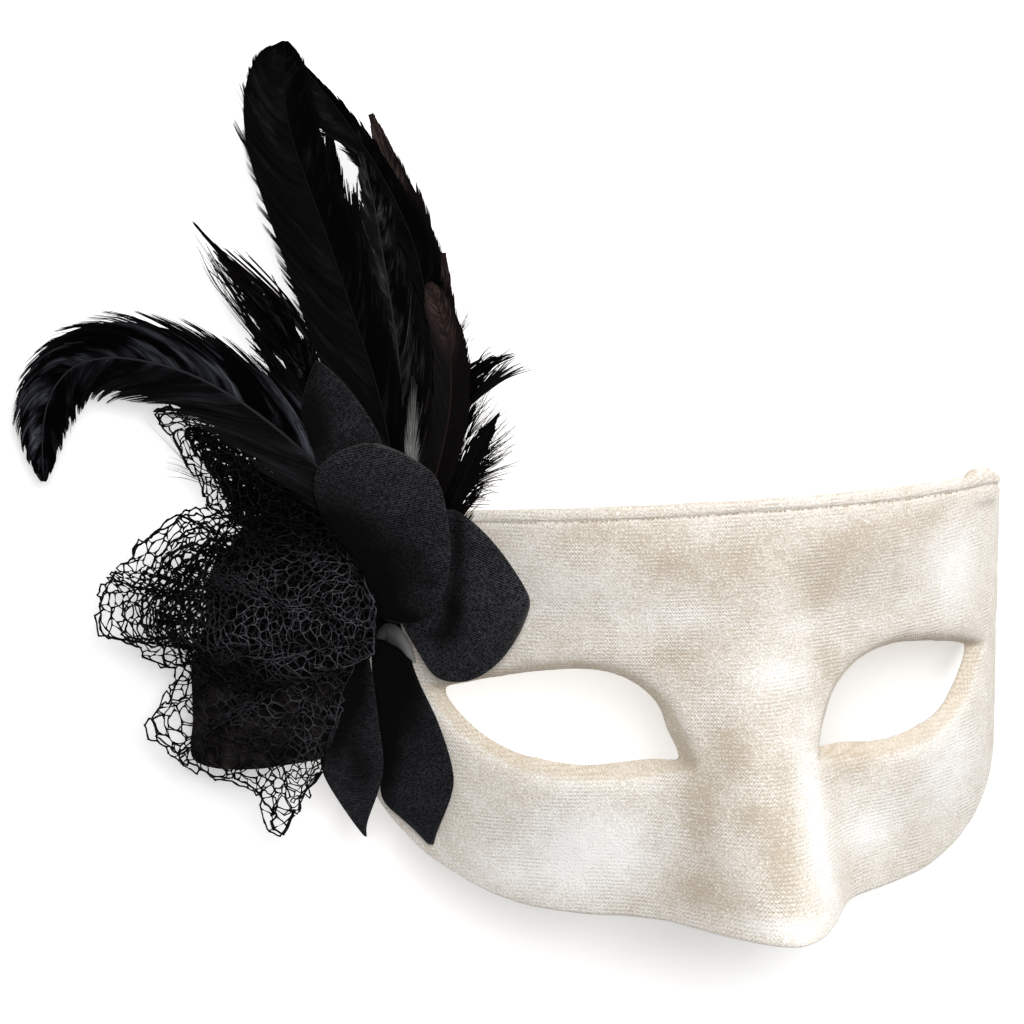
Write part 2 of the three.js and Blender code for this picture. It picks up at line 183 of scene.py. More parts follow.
def subdivided(mesh, levels):
    data = bpy.data.meshes.new("cage")
    mesh.to_mesh(data)
    mesh.free()
    cage = bpy.data.objects.new("cage", data)
    bpy.context.scene.collection.objects.link(cage)
    smooth = cage.modifiers.new("smooth", "SUBSURF")
    smooth.levels = smooth.render_levels = levels
    graph = bpy.context.evaluated_depsgraph_get()
    fine = bmesh.new()
    fine.from_object(cage, graph)
    bpy.data.objects.remove(cage)
    bpy.data.meshes.remove(data)
    return fine


# A shader socket that can be written in sums: values join through Math nodes.
class Flow:
    def __init__(self, tree, socket=None):
        self.tree = tree
        self.socket = socket

    def node(self, kind, settings=None, sockets=None, output=0):
        made = self.tree.nodes.new("ShaderNode" + kind)
        for key, value in (settings or {}).items():
            if key == "stops":
                ramp = made.color_ramp.elements
                for stop, (place, colour) in ((ramp[0], value[0]), (ramp[1], value[-1])):
                    stop.position, stop.color = place, (*colour, 1)
                for place, colour in value[1:-1]:
                    ramp.new(place).color = (*colour, 1)
            else:
                setattr(made, key, value)
        for key, value in (sockets or {}).items():
            if isinstance(value, Flow):
                self.tree.links.new(value.socket, made.inputs[key])
            else:
                made.inputs[key].default_value = value
        return Flow(self.tree, made.outputs[output] if made.outputs else None)

    def math(self, operation, first, second=0.0):
        return self.node("Math", {"operation": operation}, {0: first, 1: second})

    def __add__(self, other):
        return self.math("ADD", self, other)

    def __radd__(self, other):
        return self.math("ADD", other, self)

    def __sub__(self, other):
        return self.math("SUBTRACT", self, other)

    def __rsub__(self, other):
        return self.math("SUBTRACT", other, self)

    def __mul__(self, other):
        return self.math("MULTIPLY", self, other)

    def __rmul__(self, other):
        return self.math("MULTIPLY", other, self)

    def __truediv__(self, other):
        return self.math("DIVIDE", self, other)

    def __pow__(self, other):
        return self.math("POWER", self, other)

    def sine(self):
        return self.math("SINE", self)

    def size(self):
        return self.math("ABSOLUTE", self)

    def between(self, low, high, toLow=0.0, toHigh=1.0):
        settings = {"interpolation_type": "SMOOTHSTEP", "clamp": True}
        return self.node("MapRange", settings, {0: self, 1: low, 2: high, 3: toLow, 4: toHigh})

    def mixed(self, first, second):
        return self.node("Mix", {"data_type": "RGBA"}, {0: self, 6: first, 7: second}, 2)

    def noise(self, scale, detail=3, roughness=0.5, distortion=0.0):
        sockets = {
            "Vector": self, "Scale": scale, "Detail": detail, "Roughness": roughness, "Distortion": distortion,
        }
        return self.node("TexNoise", None, sockets)

    def stretched(self, x, y, z):
        return self.node("VectorMath", {"operation": "MULTIPLY"}, {0: self, 1: (x, y, z)})

    def parts(self):
        split = self.node("SeparateXYZ", None, {0: self})
        return [Flow(self.tree, socket) for socket in split.socket.node.outputs]

    def colours(self, *stops):
        return self.node("ValToRGB", {"stops": stops}, {0: self})


def newMaterial(name):
    material = bpy.data.materials.new(name)
    material.use_nodes = True
    material.node_tree.nodes.clear()
    return material, Flow(material.node_tree)


def rgb(*value):
    return (*value, 1)


def closeMaterial(flow, sockets, height=None, bump=None):
    if height is not None:
        sockets["Normal"] = flow.node(
            "Bump", None, {"Strength": bump["strength"], "Distance": bump["depth"] * mm, "Height": height}
        )
    shader = flow.node("BsdfPrincipled", None, sockets)
    flow.node("OutputMaterial", None, {"Surface": shader})


# rimShade and rimLight are the painted shade colours of the eye rims and of faces turned away under edges.
velvetLook = {
    "rowPitch": 0.85, "walePitch": 0.66, "cloud": 16, "crush": 4.5, "fibre": 0.42,
    "shade": (0.54, 0.455, 0.36), "middle": (0.765, 0.71, 0.635), "light": (0.96, 0.945, 0.92),
    "rimShade": (0.5, 0.415, 0.315), "rimLight": (0.8, 0.73, 0.63),
}


def velvetMaterial():
    look = velvetLook
    material, flow = newMaterial("velvet")
    pattern = flow.node("Attribute", {"attribute_name": "pattern"}, None, 1)
    # Painted shade on the turned-in eye rims and under the edges.
    rim = flow.node("Attribute", {"attribute_name": "rim"}, None, 2)
    # Painted light and shade: the listed patches brighten and darken the pile's tone.
    nap = flow.node("Attribute", {"attribute_name": "nap"}, None, 2)
    wander = pattern.noise(1 / 7, 2) * 5
    along, up, _ = pattern.parts()
    rows = (up * (2 * math.pi / look["rowPitch"]) + wander).sine()
    wales = (along * (2 * math.pi / look["walePitch"]) + wander).sine()
    loops = rows * 0.4 + rows * wales * 0.6
    cloud = pattern.noise(1 / look["cloud"], 2, 0.55, 0.4)
    crush = pattern.stretched(0.7, 1, 1).noise(1 / look["crush"], 4, 0.65)
    fibre = pattern.stretched(0.8, 1, 1).noise(1 / look["fibre"], 3, 0.7)
    knit = pattern.noise(1 / 9, 2).between(0.44, 0.62)
    # Painted glints: bright specks of the pile's highlights, thresholded from the fibre noise.
    paintedGlints = fibre.between(0.52, 0.72)
    tone = nap * 0.4 + (cloud - 0.5) * 0.35 + (crush - 0.5) * 0.45 + (fibre - 0.5) * 1.5
    tone = tone + loops * (knit * 0.24 + 0.1) + paintedGlints * 0.25 + 0.45
    cloth = tone.colours((0.1, look["shade"]), (0.5, look["middle"]), (0.92, look["light"]))
    shaded = tone.colours((0.1, look["rimShade"]), (0.9, look["rimLight"]))
    height = loops * (knit * 0.3 + 0.12) + fibre * 1.6 + crush * 0.7
    closeMaterial(flow, {
        "Base Color": rim.mixed(cloth, shaded),
        "Roughness": tone.between(0.2, 0.9, 0.85, 0.6),
        "Specular IOR Level": 0.2,
        "Sheen Weight": 0.12,
        "Sheen Roughness": 0.4,
        "Sheen Tint": rgb(1, 0.98, 0.95),
    }, height, {"strength": 0.8, "depth": 0.25})
    return material


def threadMaterial():
    material, flow = newMaterial("stitching")
    where = flow.node("TexCoord", None, None, 3)
    twist = where.noise(2500, 2)
    colour = twist.mixed(rgb(0.26, 0.19, 0.13), rgb(0.52, 0.42, 0.31))
    closeMaterial(flow, {"Base Color": colour, "Roughness": 0.8}, twist, {"strength": 0.4, "depth": 0.1})
    return material


# vane is (which barb, from 0 to 1; share of the way to the edge; shade, or -1 on the shaft).
def featherMaterial(name, look):
    material, flow = newMaterial(name)
    vane = flow.node("Attribute", {"attribute_name": "vane"}, None, 1)
    barb, across, shade = vane.parts()
    # Painted sheen: streaks of the look's second colour stand in for highlights along the barbs; in the brown look that
    # colour is also the tip's own brown, in the pale look the down's own paler grey.
    streak = vane.stretched(look["bands"], look["bandAcross"], 0).noise(1, 3, 0.6, 0.3)
    strand = vane.stretched(0, 0.4, 37).noise(3, 2, 0.6)
    paintedSheenBand = streak.between(look["bandFrom"], look["bandTo"]) * strand.between(0.35, 0.7, 0.15, 1)
    edge = across.size().between(0.55, 1.05)
    # leftShare and rightShare paint less sheen on one vane than on the other.
    paintedSheenBand = paintedSheenBand * across.between(-0.1, 0.1, look.get("leftShare", 1), look.get("rightShare", 1))
    onShaft = shade.between(-0.3, -0.6)
    if "blackUpTo" in look:
        paintedSheenBand = paintedSheenBand * barb.between(*look["blackUpTo"])
    vaneColour = paintedSheenBand.mixed(rgb(*look["dark"]), rgb(*look["sheen"]))
    # The edge colour takes over towards the vane's edge: painted light showing through thin barb ends.
    paintedEdgeGlow = (edge * look["edgeShare"]).mixed(vaneColour, rgb(*look["edge"]))
    colour = onShaft.mixed(paintedEdgeGlow, rgb(*look["shaft"]))
    roughness = strand.between(0.2, 0.8, look["gloss"], look["gloss"] + 0.25)
    closeMaterial(flow, {
        "Base Color": colour,
        "Roughness": roughness,
        "Specular IOR Level": look["specular"],
    }, strand, {"strength": 0.3, "depth": 0.1})
    return material


# Each look's sheen colour is painted sheen, except that brown's is also the tip's own brown and pale's the down's own
# grey.
featherLooks = {
    "ink": {
        "bands": 26, "bandAcross": 1.3, "bandFrom": 0.5, "bandTo": 0.75, "gloss": 0.42, "specular": 0.02,
        "dark": (0.0008, 0.0007, 0.0007), "sheen": (0.013, 0.0128, 0.0128), "edge": (0.003, 0.0025, 0.0025),
        "edgeShare": 0.6, "shaft": (0.0045, 0.0038, 0.0036),
    },
    "bluish": {
        "bands": 22, "bandAcross": 1.1, "bandFrom": 0.46, "bandTo": 0.7, "gloss": 0.36, "specular": 0.016,
        "dark": (0.0009, 0.0008, 0.0009), "sheen": (0.1, 0.106, 0.13), "edge": (0.004, 0.003, 0.003),
        "edgeShare": 0.7, "shaft": (0.02, 0.02, 0.022), "leftShare": 0.16,
    },
    # Broad streaks of painted sheen.
    "satin": {
        "bands": 24, "bandAcross": 1.2, "bandFrom": 0.46, "bandTo": 0.7, "gloss": 0.36, "specular": 0.03,
        "dark": (0.0009, 0.0008, 0.0008), "sheen": (0.058, 0.055, 0.056), "edge": (0.006, 0.004, 0.004),
        "edgeShare": 0.5, "shaft": (0.02, 0.018, 0.018),
    },
    "brown": {
        "bands": 18, "bandAcross": 0.8, "bandFrom": 0.3, "bandTo": 0.6, "gloss": 0.5, "specular": 0.06,
        "dark": (0.0022, 0.0016, 0.0015), "sheen": (0.075, 0.047, 0.041), "edge": (0.004, 0.0025, 0.0025),
        "edgeShare": 0.85, "shaft": (0.012, 0.008, 0.007), "blackUpTo": (0.66, 0.84),
    },
    "down": {
        "bands": 20, "bandAcross": 1.5, "bandFrom": 0.5, "bandTo": 0.8, "gloss": 0.55, "specular": 0.06,
        "dark": (0.0018, 0.0016, 0.0016), "sheen": (0.007, 0.006, 0.006), "edge": (0.003, 0.0025, 0.0025),
        "edgeShare": 0.5, "shaft": (0.004, 0.003, 0.003),
    },
    "pale": {
        "bands": 3, "bandAcross": 1, "bandFrom": 0.2, "bandTo": 0.5, "gloss": 0.6, "specular": 0.2,
        "dark": (0.08, 0.08, 0.076), "sheen": (0.29, 0.29, 0.277), "edge": (0.02, 0.02, 0.02),
        "edgeShare": 0.95, "shaft": (0.2, 0.2, 0.2),
    },
}

petalLook = {
    "thread": 0.5, "cut": (0.05, 0.047, 0.045), "dark": (0.001, 0.001, 0.0012), "light": (0.055, 0.056, 0.064),
}


def petalMaterial():
    look = petalLook
    material, flow = newMaterial("petal cloth")
    weave = flow.node("Attribute", {"attribute_name": "weave"}, None, 1)
    # Painted light and shade: each petal's light level, less its painted shade patches.
    glow = flow.node("Attribute", {"attribute_name": "glow"}, None, 2)
    cut = flow.node("Attribute", {"attribute_name": "cut"}, None, 2)
    wander = weave.noise(1 / 5, 2) * 6
    across, along, _ = weave.parts()
    weft = (along * (2 * math.pi / look["thread"]) + wander).sine()
    warp = (across * (2 * math.pi / look["thread"]) + wander * 0.6).sine()
    fleck = weave.noise(1 / 0.45, 2, 0.7)
    soft = weave.noise(1 / 6, 3)
    pebble = weft * 0.17 + weft * warp * 0.26 + (fleck - 0.5) * 1.4 + 0.42
    # The grain's brightness is scaled by the painted light and shade.
    bright = pebble.between(0.2, 0.85) * (glow + (soft - 0.5) * 0.5).between(-0.1, 1.1)
    colour = cut.mixed(bright.mixed(rgb(*look["dark"]), rgb(*look["light"])), rgb(*look["cut"]))
    closeMaterial(flow, {
        "Base Color": colour,
        "Roughness": pebble.between(0.1, 0.9, 0.85, 0.6),
        "Specular IOR Level": 0.06,
    }, pebble, {"strength": 0.7, "depth": 0.12})
    return material


def netMaterial():
    material, flow = newMaterial("netting")
    where = flow.node("TexCoord", None, None, 3)
    twist = where.noise(1 / (0.35 * mm), 3, 0.6)
    patches = where.noise(1 / (5 * mm), 2).between(0.35, 0.6, 0.35, 1)
    # Painted highlight: the pale attribute lightens threads on the upper layers and near the gather.
    pale = flow.node("Attribute", {"attribute_name": "pale"}, None, 2) * patches * twist.between(0.3, 0.65, 0.3, 1)
    colour = pale.mixed(rgb(0.0008, 0.0008, 0.0009), rgb(0.105, 0.106, 0.12))
    closeMaterial(flow, {
        "Base Color": colour, "Roughness": 0.5, "Specular IOR Level": 0.04,
    }, twist, {"strength": 0.5, "depth": 0.1})
    return material


def liningMaterial():
    material, flow = newMaterial("gauze")
    where = flow.node("TexCoord", None, None, 3)
    weave = where.stretched(1, 1, 0.3).noise(1 / (0.5 * mm), 2, 0.7)
    blotch = where.noise(1 / (5 * mm), 3, 0.6).between(0.42, 0.66)
    colour = (blotch * 0.7 + weave * 0.3).mixed(rgb(0.0012, 0.0011, 0.0012), rgb(0.03, 0.0225, 0.0225))
    closeMaterial(flow, {
        "Base Color": colour, "Roughness": 0.9, "Specular IOR Level": 0.02,
    }, weave, {"strength": 0.5, "depth": 0.1})
    return material


def floorMaterial():
    material, flow = newMaterial("pale floor")
    closeMaterial(flow, {
        "Base Color": rgb(0.9, 0.9, 0.9), "Roughness": 0.9, "Specular IOR Level": 0.0,
        "Emission Color": rgb(1, 1, 1), "Emission Strength": 0.34,
    })
    return material


# How far a point is along the flat pattern, from the nose line; it undoes the bend of the face.
def patternAlong(point):
    x, z = (point.x - origin.x) / mm, point.z / mm
    side = math.copysign(1, x)
    x = abs(x)
    firstRun = face["frontRadius"] * face["frontTurn"]
    frontAngle = math.atan2(x, z - face["depth"] + face["frontRadius"])
    if frontAngle <= face["frontTurn"]:
        return side * face["frontRadius"] * frontAngle
    shift = face["frontRadius"] - face["templeRadius"]
    centreX = shift * math.sin(face["frontTurn"])
    centreZ = face["depth"] - face["frontRadius"] + shift * math.cos(face["frontTurn"])
    templeAngle = math.atan2(x - centreX, z - centreZ)
    if templeAngle <= face["templeTurn"]:
        return side * (firstRun + face["templeRadius"] * (templeAngle - face["frontTurn"]))
    past = (x - centreX) * math.cos(face["templeTurn"]) - (z - centreZ) * math.sin(face["templeTurn"])
    return side * (firstRun + face["templeRadius"] * (face["templeTurn"] - face["frontTurn"]) + past)


# The bent pattern's place and outward direction at a length along it.
def bend(along):
    size = abs(along)
    firstRun = face["frontRadius"] * face["frontTurn"]
    secondRun = face["templeRadius"] * (face["templeTurn"] - face["frontTurn"])
    first = min(size, firstRun) / face["frontRadius"]
    second = clamp(size - firstRun, 0, secondRun) / face["templeRadius"]
    straight = max(size - firstRun - secondRun, 0)
    x = face["frontRadius"] * math.sin(first)
    x += face["templeRadius"] * (math.sin(face["frontTurn"] + second) - math.sin(face["frontTurn"]))
    x += straight * math.cos(face["templeTurn"])
    z = face["depth"] + face["frontRadius"] * (math.cos(first) - 1)
    z += face["templeRadius"] * (math.cos(face["frontTurn"] + second) - math.cos(face["frontTurn"]))
    z -= straight * math.sin(face["templeTurn"])
    side = math.copysign(1, along)
    turn = first + second
    return Vector((side * x, 0, z)), Vector((side * math.sin(turn), 0, math.cos(turn)))


def topLine(along):
    edge = face["topEdge"]
    far = (along / edge["reach"]) ** 2
    return edge["centre"] - edge["fall"] * far - edge["lateFall"] * far * far


eye = {
    "inner": (14, -29), "outer": (74, -13.5), "upperLid": ((21, 5.5), (53.5, -7.5)),
    "lowerLid": ((25, -32), (57, -37.5)), "steps": 40, "rimFrom": 0.9, "rimTo": -0.2, "rimDepth": 7,
}
# Behind its edge, the hole narrows along the lower lid and at the inner corner.
inside = {
    "lid": {"along": 25, "spread": 15, "below": (-21, -27), "rise": 1.9},
    "corner": {"from": 22, "to": 15, "shift": 2.1}, "depth": (0.3, 4), "near": (2, 0.8),
}


def bezier(points, share):
    while len(points) > 1:
        points = [a.lerp(b, share) for a, b in zip(points, points[1:])]
    return points[0]


def eyeOutline():
    ends = [Vector(eye["inner"]), Vector(eye["outer"])]
    lines = []
    for lid in ("lowerLid", "upperLid"):
        handles = [ends[0], *(Vector(handle) for handle in eye[lid]), ends[1]]
        lines.append([bezier(handles, i / eye["steps"]) for i in range(eye["steps"] + 1)])
    return lines[0] + lines[1][-2:0:-1]


# Distance from a flat point to the eye hole's edge, negative inside it.
def fromEye(outline, point):
    nearest, inside = 1e9, False
    for a, b in zip(outline, outline[1:] + outline[:1]):
        run = b - a
        share = clamp((point - a).dot(run) / run.length_squared)
        nearest = min(nearest, (point - a - run * share).length)
        if (a.y > point.y) != (b.y > point.y) and point.x < a.x + run.x * (point.y - a.y) / run.y:
            inside = not inside
    return -nearest if inside else nearest


# Painted light and shade on the velvet, partly where the crushed pile lies differently: along, up, reach along, reach
# up, how much.
paintedNapPatches = [
    (-34, 23, 13, 5, -0.6), (-19, 17, 8, 5, -0.7), (-5, 16, 7, 7, -0.8), (22, 17, 15, 6, -0.7), (15, 8, 6, 7, -0.7),
    (44, 21, 13, 3, -0.6), (-18, -6, 7, 5, -0.7), (18, -9, 4, 5, -0.6), (-7, -25, 4, 6, -0.9), (-14, -38, 4, 10, -1),
    (-14, -55, 6, 4, -1), (-5, -38, 3, 3, -0.8), (-1, -49, 3, 7, -0.8), (22, -33, 8, 3, -0.5), (-36, 10, 13, 7, 0.3),
    (-15, 4, 7, 3, 0.6), (5, -9, 8, 4, 0.9), (57, 7, 11, 10, 0.9), (10, -35, 4, 12, 1), (11, -50, 5, 10, 1),
    (-1, -60, 7, 2, 0.9), (30, -49, 8, 5, 1), (57, -38, 16, 12, 0.8), (-33, -48, 12, 9, 1), (-50, -54, 9, 4, 0.5),
    (12, 1, 7, 3, 0.7), (-46, -50, 22, 13, 0.6), (-44, 12, 20, 10, 0.2), (1, -36, 5, 14, -0.45), (30, -46, 16, 9, 0.2),
]
velvet = {
    "levels": 2, "lump": {"size": 9, "rise": 0.16}, "crush": {"size": 2.2, "rise": 0.07},
    "groove": {"below": 0.15, "width": 0.42, "depth": 0.5}, "frontOnly": 0.35,
    "corner": {"along": 71, "reach": 8.5, "below": 4.5, "rise": 0.9, "lift": 0.8, "crease": 61.5, "fold": 0.5},
}


def makeMask():
    mesh = subdivided(paired(copyOf("velvet_mask")), velvet["levels"])
    mesh.normal_update()
    front = [f for f in mesh.faces if f.normal.dot(bend(patternAlong(f.calc_center_median()))[1]) > velvet["frontOnly"]]
    edges = {edge for f in front for edge in f.edges}
    bmesh.ops.subdivide_edges(mesh, edges=list(edges), cuts=1, use_grid_fill=True, smooth=0)
    mesh.normal_update()
    pattern = mesh.verts.layers.float_vector.new("pattern")
    rim = mesh.verts.layers.float.new("rim")
    nap = mesh.verts.layers.float.new("nap")
    outline = eyeOutline()
    groove, lump, crush, corner = velvet["groove"], velvet["lump"], velvet["crush"], velvet["corner"]
    moves = {}
    for vertex in mesh.verts:
        along = patternAlong(vertex.co)
        up = (vertex.co.y - origin.y) / mm
        vertex[pattern] = (along, up, vertex.co.z / mm)
        # Painted light and shade from the listed patches.
        vertex[nap] = sum(
            much * math.exp(-(((along - u) / width) ** 2) - ((up - v) / height) ** 2)
            for u, v, width, height, much in paintedNapPatches
        )
        outward = vertex.normal.dot(bend(along)[1])
        # Painted shade: the turned-in band round the eye holes, and faces that turn away under an edge, take the darker
        # rim colours.
        nearEye = fromEye(outline, Vector((abs(along), up)))
        turned = ease(eye["rimFrom"], eye["rimTo"], nearEye)
        underEdgeShade = ease(0.45, 0.0, outward) if nearEye > eye["rimDepth"] or outward < 0 else 0
        vertex[rim] = max(turned, 0.6 * underEdgeShade)
        flat = Vector((along, up, 0))
        move = lump["rise"] * noise.noise(flat / lump["size"]) + crush["rise"] * noise.noise(flat / crush["size"])
        if outward > velvet["frontOnly"]:
            offset = (up - topLine(along) + groove["below"]) / groove["width"]
            move -= groove["depth"] * math.exp(-offset * offset)
        top = topLine(along)
        near = ease(corner["reach"], 0.4 * corner["reach"], abs(along - corner["along"]))
        near *= ease(-corner["below"], -0.55 * corner["below"], up - top)
        fold = (along - corner["crease"] - 0.8 * (up - top)) / corner["fold"]
        creased = math.exp(-fold * fold) * ease(-corner["below"], 0, up - top)
        move += corner["rise"] * near - 0.35 * creased
        moves[vertex] = (vertex.normal * move + Vector((0, corner["lift"] * near * ease(-2, 1, up - top), 0))) * mm
        place, out = bend(along)
        deep = ease(*inside["depth"], (place + out * reliefAt(along, up) - (vertex.co - origin) / mm).dot(out))
        deep *= ease(*inside["near"], nearEye)
        if deep:
            lid, inner = inside["lid"], inside["corner"]
            rise = lid["rise"] * math.exp(-(((abs(along) - lid["along"]) / lid["spread"]) ** 2))
            rise *= ease(*lid["below"], up)
            shift = inner["shift"] * ease(inner["from"], inner["to"], abs(along))
            outwards = Vector((out.z, 0, -out.x)) * math.copysign(1, along)
            moves[vertex] += (Vector((0, rise, 0)) + outwards * shift) * deep * mm
    for vertex, move in moves.items():
        vertex.co += move
    return finishPiece(mesh, "mask_velvet", velvetMaterial(), ["velvet_mask"])


stitches = {"pitch": 1.1, "length": 0.6, "radius": 0.15, "sink": 0.3, "reach": (-52, 58), "skip": 0.3, "seed": 5}


# The sewn line under the rolled hem: short thread beads, a little uneven.
def makeStitches():
    mesh = bmesh.new()
    draw = random.Random(stitches["seed"])
    for number in range(*(round(end / stitches["pitch"]) for end in stitches["reach"])):
        if draw.random() < stitches["skip"]:
            continue
        along = (number + draw.uniform(-0.2, 0.2)) * stitches["pitch"]
        up = topLine(along) - velvet["groove"]["below"] + draw.uniform(-0.08, 0.08)
        place, out = bend(along)
        swell = reliefAt(along, up)
        spot = origin + (place + out * (swell - stitches["sink"])) * mm + Vector((0, up * mm, 0))
        side = Vector((out.z, 0, -out.x))
        length = stitches["length"] * draw.uniform(0.7, 1.1)
        made = bmesh.ops.create_uvsphere(mesh, u_segments=6, v_segments=4, radius=stitches["radius"] * mm)["verts"]
        turn = Matrix((side, Vector((0, 1, 0)), out)).transposed().to_4x4()
        stretch = Matrix.Diagonal((length / stitches["radius"] / 2, 1, 1, 1))
        bmesh.ops.transform(mesh, matrix=Matrix.Translation(spot) @ turn @ stretch, verts=made)
    return finishPiece(mesh, "hem_stitches", threadMaterial())


nose = {
    "bridge": 8, "tip": -48, "bridgeRise": 2.2, "tipRise": 19.4, "curve": 1.9, "bridgeWidth": 11, "tipWidth": 15.6,
    "fadeAbove": 18,
}
brow = {"rise": 3, "along": 30, "up": 18, "spreadAlong": 26, "spreadUp": 11}


# How far the brow and the top of the nose stand out of the bent pattern.
def reliefAt(along, up):
    above = clamp((up - nose["bridge"]) / nose["fadeAbove"])
    ridge = nose["bridgeRise"] * (1 - above) ** 2 * (1 + 2 * above)
    offset = ((abs(along) - brow["along"]) / brow["spreadAlong"]) ** 2 + ((up - brow["up"]) / brow["spreadUp"]) ** 2
    return ridge * math.exp(-((along / nose["bridgeWidth"]) ** 2)) + brow["rise"] * math.exp(-offset)


# The rows of a packed feather: its left edge, shaft and right edge, from the quill to the tip.
def vaneRows(node):
    mesh = copyOf(node)
    root = min(mesh.verts, key=lambda v: Vector(inSpray(v.co)[:2]).length)
    ring = set(sorted(mesh.verts, key=lambda v: (v.co - root.co).length)[:6])
    seen, rings = set(ring), [ring]
    while True:
        ring = {edge.other_vert(v) for v in ring for edge in v.link_edges} - seen
        if not ring:
            break
        seen |= ring
        rings.append(ring)
    centres = [sum((v.co for v in ring), Vector()) / len(ring) for ring in rings]
    rows = []
    for number, ring in enumerate(rings):
        ahead = centres[min(number + 1, len(rings) - 1)] - centres[max(number - 1, 0)]
        right = ahead.cross(sprayOut)
        order = [v.co.copy() for v in sorted(ring, key=lambda v: v.co.dot(right))]
        rows.append(tuple((order[i] + order[i + 1]) / 2 for i in (0, 2, 4)))
    mesh.free()
    return rows


# A point of the vane: across runs from -1 at the left edge to 1 at the right one.
def vanePoint(rows, along, across):
    over = max(along - 1, 0)
    spot = clamp(along)
    side = 0 if across < 0 else 2
    shaft = Vector(through([row[1] for row in rows], spot))
    edge = Vector(through([row[side] for row in rows], spot))
    point = shaft.lerp(edge, abs(across)) if abs(across) <= 1 else shaft + (edge - shaft) * abs(across)
    if over:
        point += (rows[-1][1] - rows[-2][1]).normalized() * over * len(rows) * (rows[-1][1] - rows[-2][1]).length
    return point


featherStyle = {
    "barbs": 260, "steps": 7, "sweep": 1.7, "clump": 9, "split": 0.4, "ragged": 0.05, "width": 0.32, "tilt": 0.3,
    "spread": 0.85, "lift": 0.25, "stray": 0.02, "strayReach": 0.3, "shaft": (0.42, 0.1), "look": "ink", "taper": 5,
    "web": 0.84, "webSteps": (90, 7), "tipFan": 0.07, "reach": 1, "narrowing": 0,
}
feathers = {
    "tall_feather": {"barbs": 440, "sweep": 1.8, "clump": 8, "ragged": 0.05, "split": 0.4, "spread": 0.8, "web": 0.92},
    "arched_feather": {"barbs": 380, "sweep": 2.2, "clump": 8, "ragged": 0.1, "split": 0.5},
    "sheen_feather": {
        "barbs": 320, "sweep": 2.6, "clump": 9, "ragged": 0.12, "look": "satin", "reach": 1.1, "split": 0.7, "web": 0.8,
    },
    "narrow_feather": {
        "barbs": 300, "sweep": 3.8, "clump": 16, "ragged": 0.2, "split": 0.9, "web": 0.6, "reach": 1.1,
    },
    "brown_back_feather": {"barbs": 260, "sweep": 2.2, "clump": 10, "ragged": 0.08, "look": "brown"},
    "brown_sliver_feather": {"barbs": 180, "sweep": 2.4, "look": "brown", "ragged": 0.1},
    "round_feather": {"barbs": 240, "sweep": 2.0, "look": "brown", "ragged": 0.03, "split": 0.15, "web": 0.92},
    "left_thin_feather": {
        "barbs": 300, "sweep": 5, "clump": 6, "ragged": 0.35, "split": 0.8, "web": 0.85, "stray": 0.12,
        "narrowing": 0.8, "shaft": (0.3, 0.05), "tipFan": 0,
    },
    "short_right_feather": {
        "barbs": 240, "sweep": 4.5, "clump": 14, "ragged": 0.3, "split": 0.9, "web": 0.6, "reach": 1.05,
        "narrowing": 0.5, "shaft": (0.3, 0.06), "tipFan": 0,
    },
    "curled_feather": {
        "barbs": 460, "sweep": 2.3, "clump": 9, "ragged": 0.06, "look": "bluish", "spread": 0.8, "web": 0.8, "split": 0.7,
    },
    "curled_back_feather": {
        "barbs": 240, "sweep": 2.6, "clump": 8, "ragged": 0.2, "split": 0.6, "look": "brown", "web": 0.7,
    },
    "downy_left_feather": {
        "barbs": 130, "sweep": 1.4, "clump": 5, "ragged": 0.5, "split": 0.8, "width": 0.22, "stray": 0.25, "look": "down",
        "lift": 0.8, "strayReach": 1.2, "web": 0.75,
    },
    "downy_right_feather": {
        "barbs": 420, "sweep": 3, "clump": 7, "ragged": 0.35, "split": 0.9, "width": 0.24, "stray": 0.15,
        "look": "down", "lift": 0.9, "strayReach": 0.8, "web": 0.6, "reach": 1.05, "narrowing": 0.85, "tipFan": 0,
    },
}
featherMaterials = {name: featherMaterial("feather " + name, look) for name, look in featherLooks.items()}


# A point on the barb numbered own, from 0 at the quill to a little past 1, where barbs fan round the tip.
def barbPoint(rows, style, length, side, own, out, pull=0.0, reach=1.0):
    past = clamp((own - 1) / style["tipFan"]) if style["tipFan"] else 0
    reach *= 1 - style["narrowing"] * own ** 2
    end = min(own, 1)
    edgeAt = clamp(end, 0.02, 0.97)
    half = (vanePoint(rows, edgeAt, side) - vanePoint(rows, edgeAt, 0)).length
    start = max(end * 0.97 - style["sweep"] * max(half, 0.0025) / length, end * 0.12)
    along = lerp(start, end + pull * out ** 4, out ** 1.12)
    return vanePoint(rows, along, side * reach * out ** style["spread"] * (1 - past))


